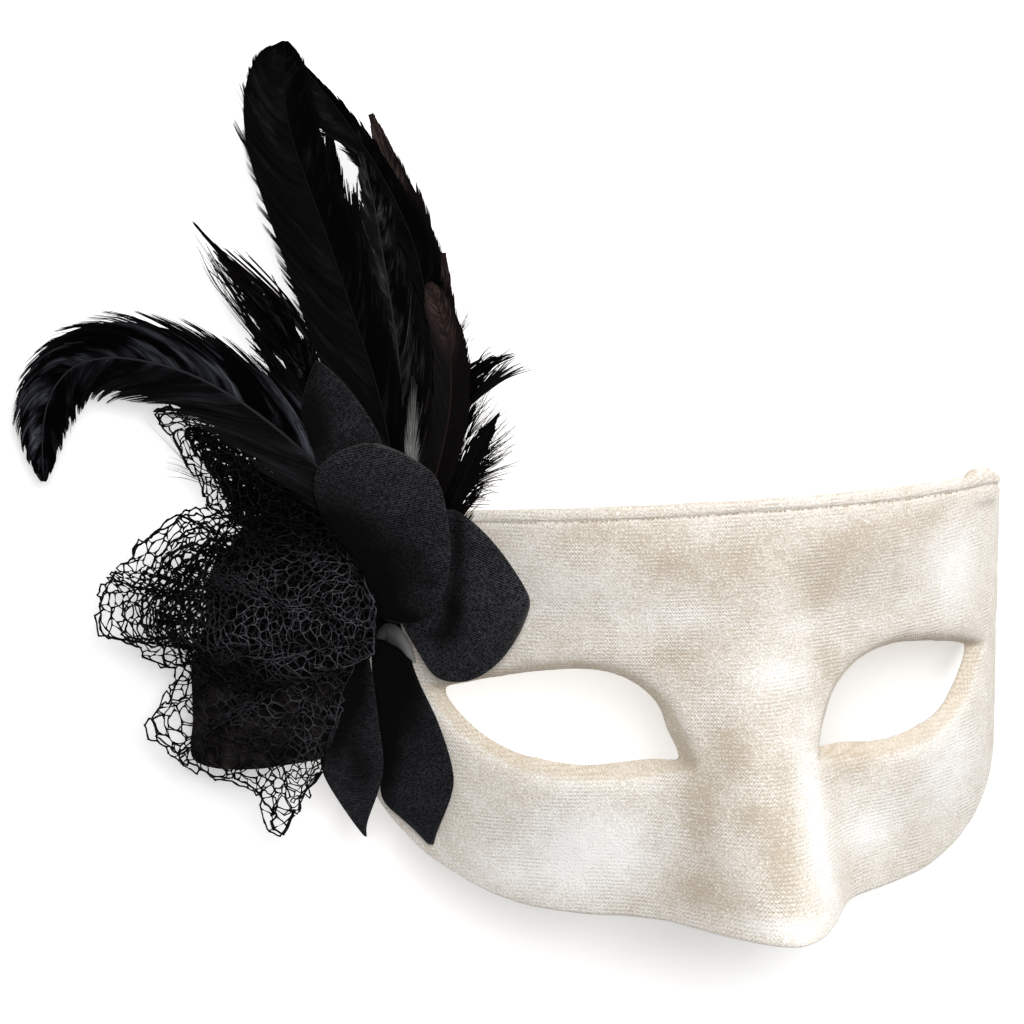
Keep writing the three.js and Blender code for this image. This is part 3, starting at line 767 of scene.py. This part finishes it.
def makeFeather(node, own):
    style = {**featherStyle, **own}
    rows = vaneRows(node)
    draw = random.Random(node)
    length = sum((far[1] - near[1]).length for near, far in zip(rows, rows[1:]))
    mesh = bmesh.new()
    vane = mesh.verts.layers.float_vector.new("vane")
    steps, count, clump = style["steps"], style["barbs"], style["clump"]
    full = 1 + style["tipFan"]
    for side in (-1, 1):
        across, out = style["webSteps"]

        def onWeb(far, near):
            return barbPoint(rows, style, length, side, far * full, near * style["web"]) - sprayOut * 0.06 * mm

        web = gridOn(mesh, across, out, onWeb)
        for number, vertex in enumerate(web):
            row, column = divmod(number, out + 1)
            vertex[vane] = (row / across, side * style["web"] * column / out, 2.2 * row / across)
        for number, strip in enumerate(ribbons(mesh, count, steps)):
            if number % clump == 0:
                clumpReach = draw.gauss(style["reach"], style["ragged"])
                clumpPull = style["split"] * draw.random()
            own = (number + 0.5) / count * full
            middle = (number // clump + 0.5) * clump / count * full
            reach = clumpReach + draw.gauss(0, style["ragged"] / 3)
            lift = draw.uniform(-1, 1) * style["lift"]
            width = style["width"] * draw.uniform(0.7, 1.2)
            if draw.random() < style["stray"]:
                reach += draw.uniform(0, style["strayReach"])
                width *= 0.5
            pull = (middle - own) * clumpPull
            line = [
                barbPoint(rows, style, length, side, own, i / steps, pull, max(reach, 0.2)) for i in range(steps + 1)
            ]
            shade = draw.random()
            for i, spot in enumerate(line):
                f = i / steps
                ahead = line[min(i + 1, steps)] - line[max(i - 1, 0)]
                aside = ahead.cross(sprayOut).normalized()
                half = width * (1 - 0.85 * f ** style["taper"]) / 2 * mm
                raised = spot + sprayOut * lift * f * mm
                for vertex, sign in zip(strip[i], (-1, 1)):
                    vertex.co = raised + (aside * sign + sprayOut * sign * side * style["tilt"]) * half
                    vertex[vane] = (own / full, side * f, shade)
    thick, thin = style["shaft"]

    def onShaft(along, around):
        spot = vanePoint(rows, along, 0)
        ahead = (vanePoint(rows, along + 0.01, 0) - vanePoint(rows, along - 0.01, 0)).normalized()
        right = ahead.cross(sprayOut).normalized()
        angle = 2 * math.pi * around
        radius = lerp(thick, thin, along) * mm
        return spot + (right * math.cos(angle) + sprayOut * math.sin(angle)) * radius

    tube = gridOn(mesh, 48, 8, onShaft)
    for number, vertex in enumerate(tube):
        vertex[vane] = (number // 9 / 48, 0, -1)
    bmesh.ops.remove_doubles(mesh, verts=tube, dist=weldDistance)
    cleaned(mesh)
    slot = "brown_feather" if "brown" in node or node == "round_feather" else "black_feather"
    return finishPiece(mesh, node + "_barbs", featherMaterials[style["look"]], [node])


# Loose hairs beside the feathers: start, bend and end across and up the spray, at a height out of it.
hairSteps = 10
hairs = {
    "single": {
        "width": 0.14, "beside": 5, "spread": 1.6, "height": 6,
        "lines": [
            [(11, 60), (13.7, 65.4), (15.6, 68.8)], [(12, 56), (14.3, 61), (16.3, 63.8)], [(13.4, 63.8), (15, 66), (16, 68.6)],
            [(10, 66), (11, 70), (12, 74)], [(-40, 29), (-47.8, 32.2), (-52.8, 33)],
            [(-38, 28), (-48, 33.5), (-53.7, 34.1)], [(-46, 34), (-49.9, 39.7), (-53.5, 45.2)],
            [(-24, 50), (-29.8, 59.2), (-30.8, 64.7)], [(-23, 48), (-28.5, 54), (-33.5, 57)],
        ],
    },
    "down": {
        "width": 0.24, "beside": 14, "spread": 1.7, "height": 5.4,
        "lines": [
            [(13.4, 42.9), (15.1, 47.3), (16.9, 50)], [(13.6, 41.4), (16, 45.8), (18.8, 49.1)],
            [(14.2, 39.6), (17.3, 44), (20.3, 47.8)], [(14, 37.4), (18.8, 42.3), (22.5, 45.4)],
            [(13.5, 34.8), (19.9, 39.6), (25.5, 44.9)], [(14, 33.4), (20.7, 37.9), (24.9, 41.6)],
            [(14, 31.7), (19.4, 35.7), (24, 39.4)], [(14, 30.3), (19.9, 33.9), (23.6, 36.3)],
            [(14, 29), (19.4, 32.1), (24, 34.3)], [(14, 27.7), (19, 30.1), (22.9, 30.3)],
            [(14, 26.3), (17.7, 28.1), (20.1, 28.8)], [(13, 25), (16.8, 25.7), (19.6, 26.1)],
        ],
    },
    "fronds": {
        "width": 0.42, "beside": 12, "spread": 0.8, "height": 6.4,
        "lines": [
            [(14, 48.4), (20.3, 56.3), (24.6, 59.4)], [(14, 47.5), (20.8, 54.2), (23.6, 57)],
            [(15, 47.4), (22.1, 53.3), (27.9, 55.9)], [(14, 50), (18.2, 57.2), (21.6, 59.4)],
            [(14, 47), (19, 52.8), (21, 54.6)],
        ],
    },
    "tips": {
        "width": 0.8, "beside": 15, "spread": 0.9, "height": 8,
        "lines": [
            [(-6.3, 69.5), (-6.6, 78.2), (-7, 87.5)],
            [(-10.5, 76), (-10.2, 87.5), (-11, 98.2)], [(-9, 73.9), (-8.9, 85.3), (-9.3, 96.5)],
            [(-7.5, 72.8), (-7.7, 83.2), (-7.8, 93.1)],
            [(-13.6, 68), (-14.6, 84), (-15.3, 95)], [(-11.9, 66), (-13, 82), (-14, 91)],
            [(-10.6, 66), (-11.3, 81), (-12.1, 89)], [(-9.3, 66), (-10, 82), (-10.6, 92)],
            [(-8.4, 68), (-8.7, 84), (-8.9, 95)],
        ],
    },
    "shade": {
        "width": 1.7, "beside": 30, "spread": 1.7, "height": 2.4,
        "lines": [
            [(-9, 21), (-26, 29), (-41, 36)], [(-9, 19), (-26, 26.5), (-40.5, 30)], [(-9, 17), (-26, 24), (-38, 26)],
            [(-10, 23), (-26, 35), (-37, 40)], [(-11, 26), (-22, 35), (-31, 41)], [(-9, 17), (-20, 21), (-30, 22)],
        ],
    },
    "body": {
        "width": 1, "beside": 20, "spread": 1.2, "height": 4.6, "look": "satin",
        "lines": [
            [(-18, 52.1), (-19, 57.4), (-19.8, 63.1)],
            [(-20.8, 54.8), (-25.4, 64.6), (-32.2, 73.3)], [(-21.2, 53.9), (-28.5, 63.5), (-36.1, 71.8)],
            [(-21, 54.3), (-26.1, 58.7), (-31.2, 65.7)],
            [(-20.8, 55.6), (-29.7, 67.5), (-39.9, 78.3)], [(-19.9, 57.8), (-27.5, 69), (-39, 79.6)],
            [(-19, 60.5), (-25.4, 69.6), (-37.3, 80.5)], [(-21.2, 53), (-26.3, 60.2), (-31.4, 66.1)],
            [(-21.9, 50.8), (-28.1, 57.4), (-32.4, 62.2)], [(-21.7, 54.3), (-25.9, 61.3), (-29.7, 64.4)],
        ],
    },
    "wisps": {
        "width": 0.3, "beside": 9, "spread": 1.1, "height": 5,
        "lines": [
            [(-24, 52), (-37, 73.9), (-43.9, 85.8)], [(-27.7, 60.3), (-38.3, 72.2), (-42.9, 82)],
            [(-26.9, 60.3), (-36.1, 73.3), (-41.4, 82)], [(-26.1, 59.3), (-33.2, 70), (-39.9, 80.7)],
            [(-24, 57.1), (-31.2, 67.8), (-35.2, 77.3)], [(-27.8, 58.2), (-34.9, 67.8), (-39.9, 77)],
            [(-25.1, 54.9), (-32.4, 64.5), (-37, 72.2)],
        ],
    },
}
# The pale down over the foot of the feathers, seen above the front petal.
tuft = {
    "barbs": 110, "steps": 8, "root": (2.4, 34), "tip": (3, 56), "fan": 1.9, "bow": 0.2, "height": 13.6, "width": 0.3,
    "seed": 3,
}


def ribbonAlong(strip, line, width, layer, value):
    last = len(line) - 1
    for i, pair in enumerate(strip):
        ahead = line[min(i + 1, last)] - line[max(i - 1, 0)]
        aside = ahead.cross(sprayOut).normalized()
        half = width * (1 - 0.8 * i / last) / 2 * mm
        for vertex, sign in zip(pair, (-1, 1)):
            vertex.co = line[i] + aside * sign * half + sprayOut * sign * half * 0.5
            vertex[layer] = (value, i / last, value)


def cleaned(mesh):
    loose = [v for v in mesh.verts if not v.link_faces]
    bmesh.ops.delete(mesh, geom=loose, context="VERTS")
    return mesh


def makeHairs(name, bundle):
    mesh = bmesh.new()
    vane = mesh.verts.layers.float_vector.new("vane")
    draw = random.Random(name)
    beside = bundle["beside"]
    for number, strip in enumerate(ribbons(mesh, beside * len(bundle["lines"]), hairSteps)):
        points = bundle["lines"][number // beside]
        sway = [bundle["spread"] * draw.gauss(0, 0.5) for _ in range(2)]
        ends = [(x + k * sway[0], y + k * sway[1]) for k, (x, y) in enumerate(points)]
        reach = draw.uniform(0.7, 1)
        height = bundle["height"] + draw.uniform(-0.8, 0.8)
        line = [sprayPoint(*through(ends, reach * i / hairSteps), height) for i in range(hairSteps + 1)]
        ribbonAlong(strip, line, bundle["width"] * draw.uniform(0.6, 1.2), vane, draw.random())
    material = featherMaterials[bundle.get("look", "down")]
    return finishPiece(cleaned(mesh), name + "_hairs", material)


def makeTuft():
    mesh = bmesh.new()
    vane = mesh.verts.layers.float_vector.new("vane")
    draw = random.Random(tuft["seed"])
    steps = tuft["steps"]
    root, tip = Vector(tuft["root"]), Vector(tuft["tip"])
    for strip in ribbons(mesh, tuft["barbs"], steps):
        share = draw.uniform(-1, 1)
        reach = draw.uniform(0.35, 1) * (1 - 0.7 * share * share)
        line = []
        for i in range(steps + 1):
            f = i / steps
            spot = root.lerp(tip, f * reach) + Vector((share * tuft["fan"] * f ** 0.8 + tuft["bow"] * f * f, 0))
            line.append(sprayPoint(spot.x, spot.y, tuft["height"] + 0.5 * draw.random() * f))
        ribbonAlong(strip, line, tuft["width"] * draw.uniform(0.6, 1.3), vane, draw.random())
    return finishPiece(cleaned(mesh), "pale_down", featherMaterials["pale"])


petalForm = {"levels": 3, "size": 11, "rise": 0.45, "cutFrom": 0.75, "cutTo": 0.3}
# turn is the weave's, in degrees. Each petal's light level is painted light; its dark patches are painted shade:
# across, up, reach across, reach up, how much.
petals = {
    "upper_petal": {
        "flat": (18.5, 35), "fill": 0.62, "turn": 30, "glow": 0.58,
        "dark": [(-19, 43, 4.5, 9, 0.75), (-20, 57, 3, 4, 0.5), (-8, 38, 5, 3, 0.4)],
    },
    "front_petal": {
        "flat": (30.5, 40.5), "fill": 0.72, "turn": -14, "glow": 0.8,
        "dark": [(-16, 19, 10, 13, 0.95), (-5, 9, 8, 12, 0.85), (2, 0, 7, 4, 0.7), (4, 14, 5, 9, 0.25)],
    },
    "right_petal": {
        "flat": (28.5, 41), "fill": 0.75, "turn": 25, "glow": 1.05,
        "dark": [(12.5, 20, 2.4, 14, 0.85), (11, 3, 3, 7, 0.8), (7, -2, 5, 3, 0.5), (22, 16, 5, 7, 0.25)],
    },
    "lower_right_petal": {
        "flat": (19, 53.5), "fill": 0.63, "turn": 8, "glow": 0.65,
        "dark": [(-3, -10, 7, 13, 0.9), (-4, -30, 3.5, 12, 0.85), (2, -20, 3, 9, 0.35)],
    },
    "lower_left_petal": {
        "flat": (14.5, 45), "fill": 0.64, "turn": -6, "glow": 0.6,
        "dark": [(-12, -14, 4, 11, 1), (-15.5, -26, 3.4, 8, 0.7), (-9, -34, 2.5, 5, 0.4)],
        "crease": {"line": [(-8.6, -8), (-9.6, -20), (-12.6, -31), (-12.4, -40)], "reach": 1.6, "depth": 0.7},
    },
}


# How deep a fold runs at a flat point: full on its line, gone at its reach.
def creaseAt(crease, spot):
    dense = [Vector(through(crease["line"], i / 20)) for i in range(21)]
    nearest = min((spot - point).length for point in dense)
    return crease["depth"] * math.exp(-((nearest / crease["reach"]) ** 2))


def makePetal(node, own, material):
    mesh = subdivided(paired(copyOf(node)), petalForm["levels"])
    mesh.normal_update()
    cut = mesh.verts.layers.float.new("cut")
    glow = mesh.verts.layers.float.new("glow")
    weave = mesh.verts.layers.float_vector.new("weave")
    turn = Matrix.Rotation(math.radians(own["turn"]), 2)
    for vertex in mesh.verts:
        across, up, _ = inSpray(vertex.co)
        spot = Vector((across, up))
        vertex[cut] = ease(petalForm["cutFrom"], petalForm["cutTo"], abs(vertex.normal.dot(sprayOut)))
        vertex[weave] = (*(turn @ spot), len(node))
        # Painted light level less painted shade patches.
        vertex[glow] = own["glow"] - sum(
            much * math.exp(-(((across - x) / width) ** 2) - ((up - y) / height) ** 2)
            for x, y, width, height, much in own["dark"]
        )
    for vertex in mesh.verts:
        across, up, _ = inSpray(vertex.co)
        ripple = noise.noise(Vector((across, up, len(node) * 7)) / petalForm["size"]) * petalForm["rise"]
        if "crease" in own:
            ripple -= creaseAt(own["crease"], Vector((across, up)))
        vertex.co += sprayOut * ripple * mm
    piece = finishPiece(mesh, node + "_cloth", material, [node])
    width, length = (size * mm for size in own["flat"])
    own["fill"] * width * length


# The foot of the lower right petal is rolled over and shows its paler back, with a painted highlight towards its right
# end.
lip = {
    "line": [(-6.2, -5.2), (-5.6, -4.1), (-3.7, -2.1), (-1.5, -2.3), (0.5, -4.1), (2, -6.6), (3.1, -10.5)],
    "height": 3, "radius": 2.1, "steps": (48, 14), "turn": 1.35, "litFrom": (-4, 2.5),
    "dark": (0.018, 0.018, 0.018), "pale": (0.2, 0.2, 0.195),
}


def makeLip():
    mesh = bmesh.new()

    def place(along, around):
        x, y = through(lip["line"], along)
        ahead = Vector(through(lip["line"], along + 0.02)) - Vector(through(lip["line"], along - 0.02))
        inward = Vector((ahead.y, -ahead.x)).normalized()
        full = math.sin(math.pi * clamp(along, 0.02, 0.98)) ** 0.6
        angle = lip["turn"] * math.pi * (around - 0.3)
        radius = lip["radius"] * full
        aside = radius * (1 - math.cos(angle))
        return sprayPoint(x + inward.x * aside, y + inward.y * aside, lip["height"] + radius * math.sin(angle))

    gridOn(mesh, *lip["steps"], place)
    material, flow = newMaterial("petal back")
    where = flow.node("TexCoord", None, None, 3)
    soft = where.noise(1 / (3 * mm), 2, 0.5)
    # Painted highlight: the pale back is lit more towards the right end of the lip.
    lit = where.parts()[0].between(*(sprayPoint(end, 0, 0).x for end in lip["litFrom"]))
    colour = (soft.between(0.2, 0.5, 0.4, 1) * lit).mixed(rgb(*lip["dark"]), rgb(*lip["pale"]))
    closeMaterial(flow, {"Base Color": colour, "Roughness": 0.7}, soft, {"strength": 0.15, "depth": 0.15})
    return finishPiece(mesh, "petal_lip", material)


# A fan of cloth: at(share, out) runs round its outer edge and from its gathered end to that edge.
def fan(shape, layer):
    outer = evenly([(*point, 0) for point in shape["edge"]])
    first, last = (Vector((*point, 0)) for point in shape["gather"])
    near, far = shape["reach"]
    folds = layer["folds"]

    def at(share, out):
        angle = 2 * math.pi * (folds * share + layer.get("start", 0))
        shifted = clamp(share + layer["overlap"] * math.sin(angle) / (2 * math.pi * folds))
        root = first.lerp(last, shifted)
        place = root.lerp(outer(shifted), out * layer.get("length", 1))
        opened = math.sin(math.pi * min(out, 0.6) / 1.2)
        height = through([(h,) for h in shape["heights"]], (place.x - near) / (far - near))[0]
        height += layer["rise"] + layer["roll"] * math.cos(angle) * opened
        crumple = layer.get("crumple", 0) * min(out * 3, 1)
        shift = noise.noise_vector(Vector((place.x, place.y, 9 * layer["folds"])) / 8) * crumple
        return sprayPoint(place.x + shift.x, place.y + shift.y, height + shift.z * 0.5)

    return at


# brightFrom and brightTo: the threads' painted highlight is full out to brightTo and gone at brightFrom, as shares out
# from the gather.
netThread = {
    "thickness": 0.95, "knot": 1.0, "between": 0.5, "edge": 0.7, "cuts": 2, "jitter": 0.12, "waver": 0.5,
    "waverSize": 1.5, "halvings": 10, "brightFrom": 1.0, "brightTo": 0.6,
}


# For a flat point near the fan: its share round the outer edge and its share out from the gathered end.
def fanShares(shape):
    outer = evenly([(*point, 0) for point in shape["edge"]])
    first, last = (Vector((*point, 0)) for point in shape["gather"])

    def side(share, point):
        root = first.lerp(last, share)
        return (outer(share) - root).cross(point - root).z

    def shares(point):
        low, high = 0, 1
        atLow, atHigh = side(low, point), side(high, point)
        inside = atLow * atHigh < 0
        if not inside:
            low = 0 if abs(atLow) < abs(atHigh) else 1
        for _ in range(netThread["halvings"] if inside else 0):
            middle = (low + high) / 2
            if side(middle, point) * atLow > 0:
                low = middle
            else:
                high = middle
        root = first.lerp(last, low)
        run = outer(low) - root
        return low, (point - root).dot(run) / run.length_squared, inside

    return shares


# A net of six-sided cells, cut to the fan's outline: bricks pulled into zigzags, then bent onto it.
def netOn(shape, layer, seed):
    at, shares = fan(shape, layer), fanShares(shape)
    draw = random.Random(seed)
    points = [*shape["edge"], *shape["gather"]]
    low, high = (Vector(map(pick, zip(*points))) for pick in (min, max))
    columnStep, rowStep = layer["cell"] / 2, layer["cell"] * math.sqrt(3) / 2
    reach = (high - low).length / 2 + layer["cell"]
    columns, rows = math.ceil(reach / columnStep) * 2, math.ceil(reach / rowStep) * 2
    mesh = bmesh.new()
    weight = mesh.verts.layers.deform.verify()
    pale = mesh.verts.layers.float.new("pale")
    made = bmesh.ops.create_grid(mesh, x_segments=columns, y_segments=rows, size=1)["verts"]
    grid = {vertex: divmod(number, columns + 1)[::-1] for number, vertex in enumerate(made)}
    parting = [
        edge for vertex, (column, row) in grid.items() if (column + row) % 2 and 0 < column < columns
        for edge in vertex.link_edges if grid[edge.other_vert(vertex)] == (column, row + 1)
    ]
    turn = Matrix.Rotation(layer["turn"], 2)
    jitter = netThread["jitter"] * layer["cell"]
    thick = layer.get("thick", 0.6)
    for vertex, (column, row) in grid.items():
        zigzag = 1 / 6 if (column + row) % 2 == 0 else -1 / 6
        spot = Vector(((column - columns / 2) * columnStep, (row + zigzag - rows / 2) * rowStep))
        spot = (low + high) / 2 + turn @ spot
        vertex.co = (spot.x + jitter * draw.uniform(-1, 1), spot.y + jitter * draw.uniform(-1, 1), 0)
    bmesh.ops.dissolve_edges(mesh, edges=parting, use_verts=False)
    spare = []
    for face in mesh.faces:
        _, out, inside = shares(face.calc_center_median())
        if not inside or not 0 < out < 1:
            spare.append(face)
    bmesh.ops.delete(mesh, geom=spare, context="FACES")
    for vertex in mesh.verts:
        share, out, _ = shares(vertex.co)
        out = clamp(out)
        vertex.co = at(share, out)
        vertex[weight][0] = netThread["knot"] * thick
        # Painted highlight, from each layer's pale amount, fading out towards the outer edge.
        vertex[pale] = layer["pale"] * ease(netThread["brightFrom"], netThread["brightTo"], out)
    inner = bmesh.ops.subdivide_edges(mesh, edges=mesh.edges, cuts=netThread["cuts"])["geom_inner"]
    for part in inner:
        if isinstance(part, bmesh.types.BMVert):
            part[weight][0] = netThread["edge" if part.is_boundary else "between"] * thick
    for vertex in mesh.verts:
        shift = noise.noise_vector(vertex.co / mm / netThread["waverSize"]) * netThread["waver"]
        vertex.co += (sprayAcross * shift.x + sprayUp * shift.y) * mm
    data = bpy.data.meshes.new("net layer")
    mesh.to_mesh(data)
    mesh.free()
    return data


# Each layer's pale amount is how much painted highlight its threads get.
nets = {
    "net_pouf": {
        "flat": (190, 60), "threadShare": 0.5,
        "gather": ((-5.2, 5.6), (-5.8, -5.4)),
        "edge": [
            (-7.5, 10.5), (-11, 17), (-18.5, 23.8), (-40, 27.4), (-54.6, 20.4), (-65.3, 7.2), (-66.5, -3),
            (-57, -5), (-55.5, -9.5), (-47, -9), (-34, -14), (-17.5, -10),
        ],
        "reach": (-5.6, -66.5), "heights": (15.4, 18.8, 14.5, 8.5),
        "layers": [
            {"folds": 5, "overlap": 0.7, "roll": 1.5, "rise": 0.6, "cell": 3, "turn": 0.3, "crumple": 1, "pale": 0.22},
            {
                "folds": 6, "overlap": 0.9, "roll": 1.4, "rise": -1.2, "cell": 2.8, "turn": 1.1, "length": 0.98,
                "start": 0.4, "crumple": 1.2, "pale": 0.1, "thick": 0.7,
            },
            {
                "folds": 7, "overlap": 0.9, "roll": 1, "rise": -2.2, "cell": 2.5, "turn": 1.9, "length": 0.9,
                "start": 0.1, "crumple": 1.5, "pale": 0.05, "thick": 0.7,
            },
            {
                "folds": 8, "overlap": 0.9, "roll": 1, "rise": -3, "cell": 2.2, "turn": 0.7, "length": 0.84,
                "start": 0.3, "crumple": 1.5, "pale": 0, "thick": 0.85,
            },
            {
                "folds": 5, "overlap": 0.9, "roll": 1, "rise": -3.6, "cell": 2.1, "turn": 2.9, "length": 0.76,
                "start": 0.6, "crumple": 1.5, "pale": 0, "thick": 1,
            },
            {
                "folds": 4, "overlap": 0.8, "roll": 1.2, "rise": 1.4, "cell": 3, "turn": 2.4, "length": 0.8,
                "start": 0.7, "crumple": 1.5, "pale": 0.4, "thick": 0.5,
            },
            {
                "folds": 3, "overlap": 0.7, "roll": 1.3, "rise": 2.4, "cell": 2.9, "turn": 0.8, "length": 0.74,
                "start": 0.2, "crumple": 2.2, "pale": 0.8, "thick": 0.42,
            },
        ],
    },
    "net_ruffle": {
        "flat": (84, 41), "threadShare": 0.45,
        "gather": ((-9, -0.6), (-8.8, -5.5)),
        "edge": [
            (-47, -7.5), (-51.5, -16.5), (-56.5, -26.5), (-46.5, -35), (-34, -39.5), (-31, -46), (-28.4, -52.5),
            (-24.5, -46.5), (-21, -42), (-18.5, -37),
        ],
        "reach": (-9, -57), "heights": (2.4, 2.4, 3.2, 2.6),
        "layers": [
            {"folds": 4, "overlap": 0.7, "roll": 0.8, "rise": 0.5, "cell": 3.1, "turn": 0.5, "crumple": 1, "pale": 0.3},
            {
                "folds": 6, "overlap": 0.9, "roll": 0.8, "rise": 1.3, "cell": 2.9, "turn": 1.4, "length": 0.97,
                "start": 0.3, "crumple": 1.2, "pale": 0.4, "thick": 0.7,
            },
            {
                "folds": 5, "overlap": 0.8, "roll": 0.8, "rise": 2, "cell": 3.3, "turn": 2.3, "length": 0.8,
                "start": 0.6, "crumple": 1.2, "pale": 0.7, "thick": 0.5,
            },
        ],
    },
    "back_net": {
        "flat": (54, 48), "threadShare": 0.9,
        "gather": ((-8.5, 15.5), (-9.5, 11.5)),
        "edge": [(-36, 44), (-53, 46.5), (-47.9, 37.2), (-43.6, 30), (-41, 24), (-26, 16.5)],
        "reach": (-8.5, -52), "heights": (3.2, 6, 6.8, 5),
        "layers": [
            {"folds": 2, "overlap": 0.5, "roll": 0.7, "rise": 0.2, "cell": 2.7, "turn": 0.4, "crumple": 0.6, "pale": 0.1},
            {
                "folds": 4, "overlap": 0.9, "roll": 0.7, "rise": -0.6, "cell": 2.5, "turn": 1.5, "start": 0.5,
                "crumple": 1, "pale": 0.05,
            },
            {
                "folds": 5, "overlap": 0.9, "roll": 0.5, "rise": -1.4, "cell": 2, "turn": 2.3, "length": 0.85,
                "crumple": 1, "pale": 0, "thick": 0.9,
            },
            {
                "folds": 2, "overlap": 0.5, "roll": 0.5, "rise": -1.8, "cell": 1.8, "turn": 1.3, "length": 0.85,
                "start": 0.3, "crumple": 1, "pale": 0, "thick": 1,
            },
            {
                "folds": 3, "overlap": 0.5, "roll": 0.5, "rise": -1, "cell": 1.8, "turn": 0.1, "length": 0.8,
                "start": 0.7, "crumple": 1, "pale": 0, "thick": 1,
            },
        ],
    },
}


def makeNet(node, shape, material):
    mesh = bmesh.new()
    for number, layer in enumerate(shape["layers"]):
        data = netOn(shape, layer, node + str(number))
        mesh.from_mesh(data)
        bpy.data.meshes.remove(data)
    area = sum(face.calc_area() for face in mesh.faces) / mm ** 2
    piece = finishPiece(mesh, node + "_threads", material, [node])
    piece.vertex_groups.new(name="knots")
    wires = piece.modifiers.new("threads", "WIREFRAME")
    wires.thickness = netThread["thickness"] * mm
    wires.vertex_group = "knots"
    wires.thickness_vertex_group = 0
    wires.use_even_offset = False
    wires.use_boundary = True
    print(node, "net area", round(area), "mm2")
    width, length = (size * mm for size in shape["flat"])
    area = shape["threadShare"] * width * length


lining = {
    "gather": ((-5.5, 7.5), (-5.5, -7)),
    "edge": [
        (-13, 19.5), (-27, 22.5), (-35, 18.5), (-39, 12), (-43, 6), (-43.5, -4), (-46.5, -12), (-46.5, -24), (-46, -34.5),
        (-32, -36), (-18.5, -34),
    ],
    "reach": (-5.5, -47.5), "heights": (1.2, -1.2, -0.8, -0.3, -0.4),
    "layer": {"folds": 6, "overlap": 0.6, "roll": 0.5, "rise": 0},
    "steps": (30, 96), "pucker": {"size": 5, "rise": 0.3}, "flat": (58, 35),
}


def makeLining(material):
    mesh = bmesh.new()
    at = fan(lining, lining["layer"])

    def place(out, share):
        spot = at(share, out)
        return spot + sprayOut * lining["pucker"]["rise"] * noise.noise(spot / mm / lining["pucker"]["size"]) * mm

    gridOn(mesh, *lining["steps"], place)
    area = sum(face.calc_area() for face in mesh.faces) / mm ** 2
    print("lining area", round(area), "mm2")
    piece = finishPiece(mesh, "lining_gauze", material, ["lining"])


for node, own in feathers.items():
    makeFeather(node, own)
print("feathers made", len(feathers))
for name, bundle in hairs.items():
    makeHairs(name, bundle)
makeTuft()
petalCloth = petalMaterial()
for node, own in petals.items():
    makePetal(node, own, petalCloth)
makeLip()
netting = netMaterial()
for node, own in nets.items():
    makeNet(node, own, netting)
makeLining(liningMaterial())
print("cloth made")
makeMask()
makeStitches()
print("mask made")

view = {"yaw": math.radians(18), "pitch": math.radians(12), "distance": 930, "across": -33.975, "up": 13.993}
lens = {"sensor": 36, "focalPixels": 3987, "framePixels": 1024}


def makeCamera():
    camera = bpy.data.objects.new("camera", bpy.data.cameras.new("camera"))
    bpy.context.scene.collection.objects.link(camera)
    yaw, pitch = view["yaw"], view["pitch"]
    right = Vector((math.cos(yaw), 0, math.sin(yaw)))
    back = Vector((-math.sin(yaw) * math.cos(pitch), math.sin(pitch), math.cos(yaw) * math.cos(pitch)))
    up = back.cross(right)
    place = origin + (back * view["distance"] + right * view["across"] + up * view["up"]) * mm
    camera.matrix_world = Matrix.Translation(place) @ Matrix((right, up, back)).transposed().to_4x4()
    camera.data.sensor_width = lens["sensor"]
    camera.data.lens = lens["sensor"] * lens["focalPixels"] / lens["framePixels"]
    camera.data.clip_start = 0.01
    bpy.context.scene.camera = camera


studio = {
    "floorSize": 6, "sky": 0.18,
    "lamps": [
        {"name": "front", "place": (-0.25, 0.3, 0.92), "size": 0.28, "power": 6.8},
        {"name": "side", "place": (0.7, 0.55, 0.6), "size": 0.5, "power": 8},
    ],
}


def makeStudio():
    mesh = bmesh.new()
    bmesh.ops.create_grid(mesh, x_segments=1, y_segments=1, size=studio["floorSize"] / 2)
    data = bpy.data.meshes.new("floor")
    mesh.to_mesh(data)
    mesh.free()
    floor = bpy.data.objects.new("floor", data)
    bpy.context.scene.collection.objects.link(floor)
    data.materials.append(floorMaterial())
    world = bpy.data.worlds.new("soft sky")
    world.use_nodes = True
    world.node_tree.nodes["Background"].inputs["Strength"].default_value = studio["sky"]
    world.node_tree.nodes["Background"].inputs["Color"].default_value = rgb(1, 1, 1)
    bpy.context.scene.world = world
    for lamp in studio["lamps"]:
        data = bpy.data.lights.new(lamp["name"], "AREA")
        data.energy = lamp["power"]
        data.size = lamp["size"]
        light = bpy.data.objects.new(lamp["name"], data)
        bpy.context.scene.collection.objects.link(light)
        light.location = lamp["place"]
        light.rotation_euler = (-Vector(lamp["place"])).to_track_quat("-Z", "Y").to_euler()
    bpy.context.scene.view_settings.view_transform = "Standard"


makeCamera()
makeStudio()
